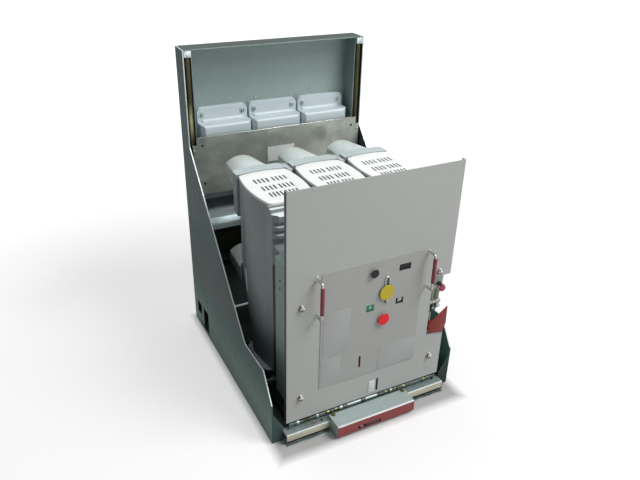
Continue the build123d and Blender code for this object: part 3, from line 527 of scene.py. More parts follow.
# The side plates' zinc is coloured much darker than the other zinc sheets, as painted shade, with their
# painted light and shade laid over it.
SIDE_ZINC_PAINTED_SHADE = Finish(
    "side_zinc_painted_shade", "zinc_sheet", (0.30, 0.36, 0.35), (0.24, 0.29, 0.29), (0.90, 0.93, 0.92),
    metallic=0.35, roughness=0.42, mottle_scale=4.0, spangle=0.2, spangle_scale=60.0,
    sheet_axis=(1.0, 0.0, 0.0), dust=0.2, soft=0.0015, edge_above=0.118,
    shades=(FOLD_PAINTED_SHADE, SIDE_HIGH_PAINTED_SHADE, SIDE_LOW_PAINTED_SHADE, SIDE_FOOT_PAINTED_LIGHT)
)
FAR_SIDE_ZINC_PAINTED_SHADE = replace(SIDE_ZINC_PAINTED_SHADE, name="far_side_zinc_painted_shade", shades=(FAR_FOLD_PAINTED_SHADE, FAR_INNER_PAINTED_LIGHT))
ZINC_FLAT = Finish(
    "zinc_flat_sheet", "zinc_sheet", (0.66, 0.73, 0.72), (0.50, 0.58, 0.58), (0.92, 0.94, 0.93),
    metallic=0.5, roughness=0.28, mottle_scale=8.0, spangle=0.2, spangle_scale=70.0, rub_and_highlight=0.8, soft=0.0012
)
ZINC_DARK = Finish(
    "zinc_dark_sheet", "zinc_sheet", (0.34, 0.39, 0.38), (0.22, 0.26, 0.25), (0.75, 0.78, 0.76),
    metallic=0.4, roughness=0.4, mottle_scale=9.0, spangle=0.2, rub_and_highlight=0.5, soft=0.001
)
ZINC_BACK = Finish(
    "zinc_back_sheet", "back_zinc", (0.55, 0.62, 0.61), (0.49, 0.56, 0.55), (0.86, 0.89, 0.88),
    metallic=0.35, roughness=0.42, mottle_scale=3.0, spangle=0.18, spangle_scale=60.0, rub_and_highlight=0.05,
    soft=0.0015, shades=(TOP_PAINTED_SHADE, BACK_PAINTED_LIGHT)
)
SHUTTER_STEEL = Finish(
    "shutter_steel", "bright_steel", (0.84, 0.86, 0.81), (0.30, 0.37, 0.38), (0.93, 0.94, 0.93),
    metallic=0.45, roughness=0.24, mottle_scale=2.8, mottle=1.0, brushed=0.3, stretch=(0.5, 0.3, 0.10),
    rub_and_highlight=0.9, soft=0.001
)
CROSS_ZINC = Finish(
    "cross_sheet", "zinc_sheet", (0.93, 0.97, 0.98), (0.82, 0.88, 0.90), (0.97, 0.98, 0.98), metallic=0.5,
    roughness=0.3, mottle_scale=7.0, spangle=0.2, rub_and_highlight=0.9, soft=0.0015
)
TUBE_ZINC = Finish(
    "shaft_tube_zinc", "bright_steel", (0.72, 0.78, 0.76), (0.52, 0.58, 0.56), None, metallic=0.4,
    roughness=0.36, mottle_scale=30.0, brushed=0.3, stretch=(20.0, 1.0, 1.0)
)
RACK_ZINC = Finish(
    "racking_sheet", "zinc_sheet", (0.73, 0.79, 0.785), (0.62, 0.68, 0.675), (0.93, 0.95, 0.94),
    metallic=0.4, roughness=0.3, mottle_scale=9.0, spangle=0.2, rub_and_highlight=0.8, soft=0.0012
)
BOX_ZINC = Finish(
    "box_sheet", "zinc_sheet", (0.60, 0.68, 0.66), (0.50, 0.58, 0.57), (0.86, 0.9, 0.89), metallic=0.3,
    roughness=0.4, mottle_scale=6.0, spangle=0.2, rub_and_highlight=0.6, soft=0.001
)
# Pale non-metal white for rims and strips: a painted highlight.
PAINTED_HIGHLIGHT_WHITE = Finish(
    "painted_highlight_white", "bright_steel", (0.95, 0.96, 0.95), (0.86, 0.88, 0.87), None, roughness=0.25,
    mottle_scale=30.0
)
DARK_STEEL = Finish(
    "dark_sheet", "dark_zinc", (0.24, 0.26, 0.20), (0.15, 0.17, 0.13), (0.5, 0.5, 0.42), metallic=0.4,
    roughness=0.4, rub_and_highlight=0.5
)
YELLOW_ZINC = Finish(
    "yellow_passivated", "yellow_zinc", (0.46, 0.45, 0.28), (0.28, 0.27, 0.15), None, metallic=0.6,
    roughness=0.34, mottle_scale=30.0, brushed=0.2, stretch=(20.0, 20.0, 1.0)
)
ROD_ZINC = Finish(
    "rod_olive_zinc", "yellow_zinc", (0.36, 0.35, 0.23), (0.18, 0.18, 0.10), None, metallic=0.6,
    roughness=0.32, mottle_scale=10.0, brushed=0.3, stretch=(20.0, 20.0, 1.0), shades=(ROD_PAINTED_HIGHLIGHT,)
)
# The right rod's finish is the rod zinc without its painted highlight.
ROD_DARK = replace(ROD_ZINC, name="rod_dark_zinc", shades=())
BRIGHT_STEEL = Finish(
    "bright_plated_steel", "bright_steel", (0.84, 0.85, 0.84), (0.62, 0.63, 0.63), None, metallic=0.9,
    roughness=0.16, mottle_scale=30.0, brushed=0.1
)
PANEL_PAINT = Finish(
    "panel_powder_coat", "panel_grey", (0.705, 0.716, 0.703), (0.675, 0.686, 0.675), (0.80, 0.81, 0.80),
    roughness=0.42, mottle_scale=3.0, grain=0.10, rub_and_highlight=0.3, soft=0.001, shades=(PANEL_SIDE_PAINTED_SHADE,)
)
COVER_PAINT = Finish(
    "cover_powder_coat", "panel_grey", (0.665, 0.672, 0.662), (0.642, 0.649, 0.64), (0.80, 0.81, 0.80),
    roughness=0.4, mottle_scale=3.0, grain=0.10, rub_and_highlight=0.3, soft=0.0006, shades=(COVER_SIDE_PAINTED_LIGHT,)
)
# The resin is coloured darker than its head tops, as painted shade, and its painted light lifts the fin and
# head tops.
POLE_RESIN = Finish(
    "pole_resin", "pole_grey", (0.56, 0.60, 0.61), (0.51, 0.55, 0.56), (0.80, 0.84, 0.84), roughness=0.36,
    mottle_scale=5.0, grain=0.10, rub_and_highlight=0.4, soft=0.002,
    shades=(POLE_LOW_PAINTED_SHADE, POLE_GAP_PAINTED_SHADE, FIN_TOP_PAINTED_LIGHT, HEAD_TOP_PAINTED_LIGHT)
)
# Near-white painted highlight on the bends of the poles' mould ribs.
RIB_PAINTED_HIGHLIGHT = Finish(
    "pole_rib_painted_highlight", "pole_grey", (0.95, 0.97, 0.97), (0.85, 0.88, 0.88), None, roughness=0.25,
    mottle_scale=20.0, grain=0.05
)
CAP_RESIN = Finish(
    "cap_resin", "cap_white", (0.95, 0.96, 0.95), (0.91, 0.92, 0.91), None, roughness=0.45, grain=0.08,
    soft=0.0015
)
SLEEVE_RESIN = Finish(
    "sleeve_resin", "sleeve_pale", (0.85, 0.89, 0.88), (0.79, 0.83, 0.82), None, roughness=0.32,
    mottle_scale=9.0, grain=0.06, coat=0.2
)
SPOUT_RESIN = Finish(
    "spout_resin", "spout_blue_grey", (0.80, 0.85, 0.87), (0.75, 0.80, 0.83), (0.92, 0.95, 0.96),
    roughness=0.34, mottle_scale=6.0, grain=0.06, rub_and_highlight=0.9, coat=0.2, soft=0.003, shades=(SPOUT_LOW_PAINTED_SHADE,)
)
GRIP_RUBBER = Finish(
    "grip_sleeve", "grip_red", (0.56, 0.22, 0.27), (0.44, 0.16, 0.20), None, roughness=0.45, grain=0.2,
    mottle_scale=20.0, brushed=0.3
)
RED_PAINT = Finish(
    "red_paint", "red_paint", (0.53, 0.155, 0.13), (0.45, 0.14, 0.12), (0.72, 0.42, 0.38), roughness=0.36,
    mottle_scale=18.0, grain=0.1, rub_and_highlight=0.6, soft=0.0008
)
RACK_RED = Finish(
    "racking_red", "red_paint", (0.60, 0.27, 0.27), (0.52, 0.22, 0.22), (0.75, 0.5, 0.47), roughness=0.34,
    mottle_scale=14.0, grain=0.1, rub_and_highlight=0.6
)
BLACK_PLASTIC = Finish(
    "black_plastic", "black_plastic", (0.06, 0.06, 0.06), (0.03, 0.03, 0.03), None, roughness=0.3,
    grain=0.05
)
# Near-black painted shade for holes, slots, gaps and the backs of openings.
NEAR_BLACK_PAINTED_SHADE = Finish(
    "near_black_painted_shade", "black_plastic", (0.05, 0.055, 0.055), (0.02, 0.02, 0.02), None, roughness=0.7, grain=0.1
)
# Near-black painted shade under the vents of the pole caps.
VENT_PAINTED_SHADE = Finish(
    "vent_painted_shade", "black_plastic", (0.06, 0.06, 0.06), (0.03, 0.03, 0.03), None, roughness=0.7, grain=0.1
)
RED_PLASTIC = Finish(
    "red_plastic", "red_plastic", (0.93, 0.07, 0.10), (0.85, 0.05, 0.08), None, roughness=0.3, grain=0.04
)
KNOB_PLASTIC = Finish(
    "knob_plastic", "red_plastic", (0.66, 0.27, 0.36), (0.56, 0.20, 0.29), None, roughness=0.35, grain=0.08
)
YELLOW_PLASTIC = Finish(
    "yellow_plastic", "yellow_plastic", (0.78, 0.71, 0.16), (0.68, 0.61, 0.12), None, roughness=0.34,
    grain=0.06
)
GREEN_PLASTIC = Finish(
    "green_sign", "panel_grey", (0.10, 0.55, 0.38), (0.06, 0.46, 0.30), None, roughness=0.35, grain=0.05
)
PALE_SIGN = Finish(
    "pale_sign", "cap_white", (0.70, 0.75, 0.71), (0.62, 0.67, 0.63), None, roughness=0.4, grain=0.05
)
BARE_PLATE = Finish(
    "bare_plate", "panel_grey", (0.655, 0.663, 0.656), (0.635, 0.643, 0.638), None, roughness=0.38,
    mottle_scale=25.0, grain=0.08
)
PALE_PLATE = Finish(
    "pale_plate", "cap_white", (0.86, 0.88, 0.87), (0.78, 0.80, 0.80), None, roughness=0.4,
    mottle_scale=40.0, grain=0.06
)
CREAM_STRIP = Finish(
    "cream_strip", "zinc_sheet", (0.83, 0.82, 0.74), (0.72, 0.71, 0.62), (0.95, 0.95, 0.9), metallic=0.2,
    roughness=0.35, mottle_scale=12.0, grain=0.06, rub_and_highlight=0.5
)
LATCH_CUP = Finish(
    "latch_cup_paint", "red_paint", (0.63, 0.56, 0.55), (0.52, 0.44, 0.43), None, roughness=0.45, grain=0.1
)
BROWN_PATCH = Finish(
    "brown_patch", "red_paint", (0.52, 0.43, 0.41), (0.42, 0.34, 0.32), None, roughness=0.5, grain=0.1
)
OLIVE_PAINT = Finish(
    "olive_paint", "olive_paint", (0.46, 0.46, 0.38), (0.36, 0.36, 0.29), (0.75, 0.75, 0.66), metallic=0.1,
    roughness=0.4, grain=0.1, rub_and_highlight=0.6
)

NODE_FINISHES = {
    "right_side_plate": FAR_SIDE_ZINC_PAINTED_SHADE, "left_side_plate": SIDE_ZINC_PAINTED_SHADE, "right_truck_rail": ZINC_DARK,
    "left_truck_rail": ZINC_DARK, "back_sheet": ZINC_BACK, "right_guide_rod": ROD_DARK,
    "left_guide_rod": ROD_ZINC, "cross_piece": CROSS_ZINC, "upper_shutter": SHUTTER_STEEL,
    "lower_shutter": DARK_STEEL, "front_rail": ZINC_FLAT, "racking_housing": RACK_ZINC,
    "racking_face": RACK_RED, "interlock_shaft": ZINC_DARK, "front_panel": PANEL_PAINT,
    "inner_cover": COVER_PAINT, "mechanism_box": BOX_ZINC, "truck_base": ZINC_DARK,
    "left_handle": BRIGHT_STEEL, "right_handle": BRIGHT_STEEL, "left_grip": GRIP_RUBBER,
    "right_grip": GRIP_RUBBER, "on_button": BLACK_PLASTIC, "off_button": RED_PLASTIC,
    "spring_disc": YELLOW_PLASTIC, "interlock_flag": RED_PAINT, "interlock_knob": KNOB_PLASTIC,
    "interlock_lever": OLIVE_PAINT, "lock_barrels": BRIGHT_STEEL
}
POLE_FINISHES = {
    "spout_housing": SPOUT_RESIN, "pole_housing": POLE_RESIN, "pole_cap": CAP_RESIN,
    "upper_sleeve": SLEEVE_RESIN, "lower_sleeve": SLEEVE_RESIN,
}
NODE_FINISHES |= {
    f"{name}_{number}": finish for name, finish in POLE_FINISHES.items() for number in (1, 2, 3)
}


class PaintShop:
    """Keeps one material for each finish."""

    def __init__(self) -> None:
        """Builds the shared effects."""
        self.bench = EffectBench()
        self.made: dict[str, bpy.types.Material] = {}

    def material(self, finish: Finish) -> bpy.types.Material:
        """Finds the material of a finish, made on first use.

        Args:
            finish: The finish.

        Returns:
            Its material.
        """
        if finish.name not in self.made:
            self.made[finish.name] = finish.material(self.bench)
        return self.made[finish.name]

    def dress(self, thing: bpy.types.Object, finish: Finish) -> None:
        """Puts a finish on an object in place of all that it had."""
        thing.data.materials.clear()
        thing.data.materials.append(self.material(finish))


class Facing(Enum):
    """Side that a piece looks to: its directions across, up and out."""

    FRONT = ((1, 0, 0), (0, 0, 1), (0, -1, 0))
    LEFT = ((0, -1, 0), (0, 0, 1), (-1, 0, 0))
    RIGHT = ((0, 1, 0), (0, 0, 1), (1, 0, 0))
    UP = ((1, 0, 0), (0, 1, 0), (0, 0, 1))

    def at(self, centre: Point, across: float, up: float, out: float) -> Vector:
        """Finds the point that lies across, up and out from a centre.

        Args:
            centre: Point that the distances are counted from.
            across: Distance across.
            up: Distance up.
            out: Distance out.

        Returns:
            The point.
        """
        u, v, w = (Vector(direction) for direction in self.value)
        return Vector(centre) + u * across + v * up + w * out


ARM_SPREAD = 0.3
ARM_WAIST = 0.28


class Outline(Enum):
    """Section of a turned piece, by the number of its corners or arms."""

    ROUND = 0
    SLOT = 2
    CROSS = 4
    HEX = 6

    def reach(self, angle: float) -> float:
        """Finds the share of the full radius that the section reaches at an angle.

        Args:
            angle: Angle round the axis.

        Returns:
            The share, 1 at the corners and arms.
        """
        if self is Outline.ROUND:
            return 1.0
        part = math.pi / self.value
        off = abs((angle + part) % (2 * part) - part)
        if self is Outline.HEX:
            return math.cos(part) / math.cos(off)
        return 1.0 if off < ARM_SPREAD else ARM_WAIST


SHARP_DEGREES = 34.0


class Workpiece:
    """Mesh of one piece, written in millimetres from the front edge of the side plates."""

    def __init__(self) -> None:
        """Starts with an empty mesh."""
        self.mesh = bmesh.new()

    def _take(self, part: bmesh.types.BMesh, edge: float, steps: int) -> "Workpiece":
        """Softens a part's edges and joins it into this piece.

        Args:
            part: Mesh that is taken in and freed.
            edge: Radius of its edges, or 0 to leave them.
            steps: Facets across an edge.

        Returns:
            This piece.
        """
        if edge:
            bmesh.ops.bevel(
                part, geom=part.edges[:], offset=edge, segments=steps, profile=0.5, affect="EDGES"
            )
        spare = bpy.data.meshes.new("part")
        part.to_mesh(spare)
        part.free()
        self.mesh.from_mesh(spare)
        bpy.data.meshes.remove(spare)
        return self

    def slab(self, low: Point, high: Point, edge: float = 0.3, steps: int = 2) -> "Workpiece":
        """Adds a block with rounded edges.

        Args:
            low: Lowest corner.
            high: Highest corner.
            edge: Radius of the edges.
            steps: Facets across an edge.

        Returns:
            This piece.
        """
        part = bmesh.new()
        bmesh.ops.create_cube(part, size=1.0)
        for vertex in part.verts:
            vertex.co = Vector([a + (c + 0.5) * (b - a) for c, a, b in zip(vertex.co, low, high)])
        return self._take(part, edge, steps)

    def pair(self, low: Point, high: Point, edge: float = 0.3, steps: int = 2) -> "Workpiece":
        """Adds a block to the right of the middle and its mirror image to the left.

        Args:
            low: Lowest corner of the right block.
            high: Highest corner of the right block.
            edge: Radius of the edges.
            steps: Facets across an edge.

        Returns:
            This piece.
        """
        self.slab((-high[0], *low[1:]), (-low[0], *high[1:]), edge, steps)
        return self.slab(low, high, edge, steps)

    def plate(
        self, corners: list, facing: Facing, base: float, depth: float, edge: float = 0.2
    ) -> "Workpiece":
        """Adds a flat plate of any outline.

        Args:
            corners: Outline, across and up.
            facing: Side that it looks to.
            base: Place of its back along that side's axis.
            depth: Thickness.
            edge: Radius of the edges.

        Returns:
            This piece.
        """
        part = bmesh.new()
        origin = tuple(abs(c) * base for c in facing.value[2])
        rings = [[part.verts.new(facing.at(origin, a, u, out)) for a, u in corners] for out in (0.0, depth)]
        part.faces.new(rings[0])
        part.faces.new(rings[1])
        for i in range(len(corners)):
            part.faces.new((rings[0][i - 1], rings[0][i], rings[1][i], rings[1][i - 1]))
        return self._take(part, edge, 2)

    def sheet(self, outer: tuple, openings: list, front_y: float, back_y: float) -> "Workpiece":
        """Adds an upright sheet with square openings.

        Args:
            outer: Left, right, low and high end.
            openings: Left, right, low and high end of each opening.
            front_y: Place of the front face.
            back_y: Place of the back face.

        Returns:
            This piece.
        """
        xs = sorted({v for box in (outer, *openings) for v in box[:2]})
        zs = sorted({v for box in (outer, *openings) for v in box[2:]})
        whole = {}
        for i, x in enumerate(a + b for a, b in zip(xs, xs[1:])):
            for j, z in enumerate(a + b for a, b in zip(zs, zs[1:])):
                inside = outer[0] < x / 2 < outer[1] and outer[2] < z / 2 < outer[3]
                opened = any(o[0] < x / 2 < o[1] and o[2] < z / 2 < o[3] for o in openings)
                whole[i, j] = inside and not opened
        corners = [(i, j, x, z) for i, x in enumerate(xs) for j, z in enumerate(zs)]
        new = self.mesh.verts.new
        points = {(i, j, y): new((x, y, z)) for i, j, x, z in corners for y in (front_y, back_y)}
        for (i, j), there in whole.items():
            if not there:
                continue
            ring = [(i, j), (i + 1, j), (i + 1, j + 1), (i, j + 1)]
            for y in (front_y, back_y):
                self.mesh.faces.new([points[a, b, y] for a, b in ring])
            for k, beside in enumerate(((i, j - 1), (i + 1, j), (i, j + 1), (i - 1, j))):
                if not whole.get(beside, False):
                    (a, b), (c, d) = ring[k], ring[(k + 1) % 4]
                    side = ((a, b, front_y), (c, d, front_y), (c, d, back_y), (a, b, back_y))
                    self.mesh.faces.new([points[place] for place in side])
        for vertex in [v for v in points.values() if not v.link_faces]:
            self.mesh.verts.remove(vertex)
        return self

    def pierced(self, outline: list, holes: list, low: float, high: float, edge: float) -> "Workpiece":
        """Adds a level plate with holes.

        Args:
            outline: Outer outline as points in plan.
            holes: Outlines of the holes.
            low: Height of the underside.
            high: Height of the upper side.
            edge: Softening of the upper edge.

        Returns:
            This piece.
        """
        part = bmesh.new()
        edges = []
        for loop in (outline, *holes):
            ring = [part.verts.new((x, y, high)) for x, y in loop]
            edges += [part.edges.new((ring[i - 1], ring[i])) for i in range(len(ring))]
        bmesh.ops.triangle_fill(part, use_beauty=True, use_dissolve=False, edges=edges)
        skin = bmesh.ops.extrude_face_region(part, geom=part.faces[:])
        for vertex in (item for item in skin["geom"] if isinstance(item, bmesh.types.BMVert)):
            vertex.co.z = low
        if edge:
            upper = [
                e for e in part.edges
                if e.calc_face_angle(0.0) > 1.0 and all(v.co.z > high - 0.01 for v in e.verts)
            ]
            bmesh.ops.bevel(part, geom=upper, offset=edge, segments=2, profile=0.5, affect="EDGES")
        return self._take(part, 0.0, 1)

    def loft(self, rings: list, capped: bool = True) -> "Workpiece":
        """Joins rings of points into a skin.

        Args:
            rings: Rings with the same number of points.
            capped: Closes both ends, or joins the last ring to the first.

        Returns:
            This piece.
        """
        rows = [[self.mesh.verts.new(point) for point in ring] for ring in rings]
        pairs = list(zip(rows, rows[1:]))
        if capped:
            self.mesh.faces.new(rows[0])
            self.mesh.faces.new(rows[-1])
        else:
            pairs.append((rows[-1], rows[0]))
        for low, high in pairs:
            for i in range(len(low)):
                self.mesh.faces.new((low[i - 1], low[i], high[i], high[i - 1]))
        return self

    def turned(
        self, profile: list, centre: Point, facing: Facing, steps: int = 32, capped: bool = True
    ) -> "Workpiece":
        """Adds a turned piece.

        Args:
            profile: Radius and height of each ring, with an outline where it isn't round.
            centre: Point that the heights are counted from.
            facing: Side that it looks to.
            steps: Points round a ring.
            capped: Closes both ends, or joins the last ring to the first.

        Returns:
            This piece.
        """
        rings = []
        for radius, out, *shape in profile:
            outline = shape[0] if shape else Outline.ROUND
            angles = [2 * math.pi * i / steps for i in range(steps)]
            reaches = [(a, radius * outline.reach(a)) for a in angles]
            rings.append([facing.at(centre, r * math.cos(a), r * math.sin(a), out) for a, r in reaches])
        return self.loft(rings, capped)

    def tube(self, path: list, radius: float, steps: int = 14) -> "Workpiece":
        """Adds a round bar along a path.

        Args:
            path: Points of the path.
            radius: Radius of the bar.
            steps: Points round a ring.

        Returns:
            This piece.
        """
        points = [Vector(p) for p in path]
        side = (points[1] - points[0]).orthogonal()
        rings = []
        for i, point in enumerate(points):
            ahead = (points[min(i + 1, len(points) - 1)] - points[max(i - 1, 0)]).normalized()
            side = (side - ahead * side.dot(ahead)).normalized()
            up = ahead.cross(side)
            turns = [2 * math.pi * k / steps for k in range(steps)]
            rings.append([point + (side * math.cos(t) + up * math.sin(t)) * radius for t in turns])
        return self.loft(rings)

    def thing(self, name: str) -> bpy.types.Object:
        """Turns the mesh into an object, in metres and in the part's own frame.

        Args:
            name: Name of the object.

        Returns:
            The object.
        """
        bmesh.ops.recalc_face_normals(self.mesh, faces=self.mesh.faces[:])
        for vertex in self.mesh.verts:
            vertex.co = Vector((vertex.co.x, vertex.co.y - FRONT_OFFSET, vertex.co.z)) / MM_PER_METRE
        data = bpy.data.meshes.new(name)
        self.mesh.to_mesh(data)
        self.mesh.free()
        data.shade_smooth()
        data.set_sharp_from_angle(angle=math.radians(SHARP_DEGREES))
        return placed(name, data)


def bend(centre: tuple, radius: float, start: float, end: float, steps: int = 8) -> list:
    """Draws an arc in a plane.

    Args:
        centre: Centre of the arc.
        radius: Radius of the arc.
        start: Angle of its first point in degrees.
        end: Angle of its last point in degrees.
        steps: Number of chords.

    Returns:
        The points of the arc.
    """
    angles = [math.radians(start + (end - start) * i / steps) for i in range(steps + 1)]
    return [(centre[0] + radius * math.cos(a), centre[1] + radius * math.sin(a)) for a in angles]


def oblong(x0: float, x1: float, z0: float, z1: float, radius: float = 0.0) -> list:
    """Draws a rectangle, with rounded corners where a radius is given.

    Args:
        x0: Left end.
        x1: Right end.
        z0: Low end.
        z1: High end.
        radius: Radius of the corners.

    Returns:
        The points of the outline.
    """
    if not radius:
        return [(x0, z0), (x1, z0), (x1, z1), (x0, z1)]
    points = []
    for x, z, start in ((x1, z0, -90), (x1, z1, 0), (x0, z1, 90), (x0, z0, 180)):
        cx = x - radius if x == x1 else x + radius
        cz = z - radius if z == z1 else z + radius
        points += bend((cx, cz), radius, start, start + 90, 5)
    return points


def through(first: tuple, middle: tuple, last: tuple, steps: int = 10) -> list:
    """Draws the arc that runs through three points.

    Args:
        first: First point.
        middle: Point on the way.
        last: Last point.
        steps: Number of chords.

    Returns:
        The points of the arc.
    """
    (ax, ay), (bx, by), (cx, cy) = first, middle, last
    d = 2 * (ax * (by - cy) + bx * (cy - ay) + cx * (ay - by))
    a2, b2, c2 = ax * ax + ay * ay, bx * bx + by * by, cx * cx + cy * cy
    x = (a2 * (by - cy) + b2 * (cy - ay) + c2 * (ay - by)) / d
    y = (a2 * (cx - bx) + b2 * (ax - cx) + c2 * (bx - ax)) / d
    start, end = (math.degrees(math.atan2(py - y, px - x)) for px, py in (first, last))
    swing = (end - start + 180.0) % 360.0 - 180.0
    return bend((x, y), math.hypot(ax - x, ay - y), start, start + swing, steps)


def rounded(corners: list, radii: list, steps: int = 6) -> list:
    """Rounds the corners of an outline.

    Args:
        corners: Points of the outline.
        radii: Distance from each corner at which its rounding starts, or 0 to leave it.
        steps: Number of chords in each rounding.

    Returns:
        The points of the rounded outline.
    """
    points = []
    for i, corner in enumerate(corners):
        here = Vector(corner)
        back, ahead = (Vector(corners[k]) - here for k in (i - 1, (i + 1) % len(corners)))
        reach = min(radii[i], 0.8 * back.length, 0.8 * ahead.length)
        if not reach:
            points.append(tuple(here))
            continue
        start, end = here + back.normalized() * reach, here + ahead.normalized() * reach
        for k in range(steps + 1):
            t = k / steps
            points.append(tuple(start * (1 - t) ** 2 + here * (2 * t * (1 - t)) + end * t ** 2))
    return points


class ScrewHead(Enum):
    """Kinds of screw heads on the breaker."""

    HEX = "hex"
    CROSS = "cross"
    SOCKET = "socket"
    SLOT = "slot"
    RIVET = "rivet"


@dataclass(frozen=True)
class Fastener:
    """A screw or rivet, by its head."""

    head: ScrewHead
    radius: float
    height: float
    washer: float = 0.0

    def profile(self) -> list:
        """Draws the head, from its seat to the bottom of its recess.

        Returns:
            Radius and height of each ring, with an outline where it isn't round.
        """
        r, h, base = self.radius, self.height, 0.0
        rings = []
        if self.washer:
            rings = [(self.washer, 0.0), (self.washer, 0.6), (self.washer - 0.3, 0.9), (r, 0.9)]
            base = 0.9
        if self.head is ScrewHead.HEX:
            hexed = [(r, base, Outline.HEX), (r, base + 0.82 * h, Outline.HEX)]
            return rings + hexed + [(0.84 * r, base + h), (0.3 * r, base + h)]
        rings += [(r, base), (r, base + 0.55 * h), (0.9 * r, base + 0.85 * h), (0.7 * r, base + h)]
        recesses = {
            ScrewHead.CROSS: Outline.CROSS, ScrewHead.SOCKET: Outline.HEX, ScrewHead.SLOT: Outline.SLOT
        }
        recess = recesses.get(self.head)
        if recess is None:
            return rings + [(0.35 * r, base + 1.08 * h), (0.1 * r, base + 1.1 * h)]
        reach = 0.62 * r if recess is not Outline.HEX else 0.5 * r
        return rings + [(reach, base + h, recess), (0.9 * reach, base + 0.45 * h, recess)]

    def fit(self, piece: Workpiece, places: list, facing: Facing) -> Workpiece:
        """Adds one head at each place.

        Args:
            piece: Piece that takes the heads.
            places: Seat of each head.
            facing: Side that the heads look to.

        Returns:
            The piece.
        """
        for place in places:
            piece.turned(self.profile(), place, facing, 24)
        return piece


@dataclass
class SubAssembly:
    """Pieces that are built, dressed and hung on a body together.

    Sizes are in millimetres from the front edge of the side plates. Four numbers are the left, right, low
    and high end of a shape, or the front, back, low and high end in a side plate. A round piece has the
    place of its middle and its radius.
    """

    shop: PaintShop
    body: str = "root"

    def keep(self, name: str, piece: Workpiece, finish: Finish, body: str = "", replaces: tuple = ()) -> None:
        """Makes a piece's object, dresses it and hangs it on its body.

        Args:
            name: Name of the piece.
            piece: Its mesh.
            finish: Its finish.
            body: Body that it rides on, where it isn't the sub-assembly's own.
            replaces: Nodes of the frame that it stands for.
        """
        made = piece.thing(name)
        self.shop.dress(made, finish)
        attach(made, body or self.body)
        if replaces:
            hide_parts(*replaces)
        log.info("built %s in %s on %s", name, finish.name, body or self.body)

    def screw(
        self, name: str, kind: Fastener, places: list, facing: Facing, finish: Finish, body: str = ""
    ) -> None:
        """Makes one piece of all the heads in a group.

        Args:
            name: Name of the piece.
            kind: The screw or rivet.
            places: Seat of each head.
            facing: Side that the heads look to.
            finish: Finish of the heads.
            body: Body that they ride on, where it isn't the sub-assembly's own.
        """
        self.keep(name, kind.fit(Workpiece(), places, facing), finish, body)


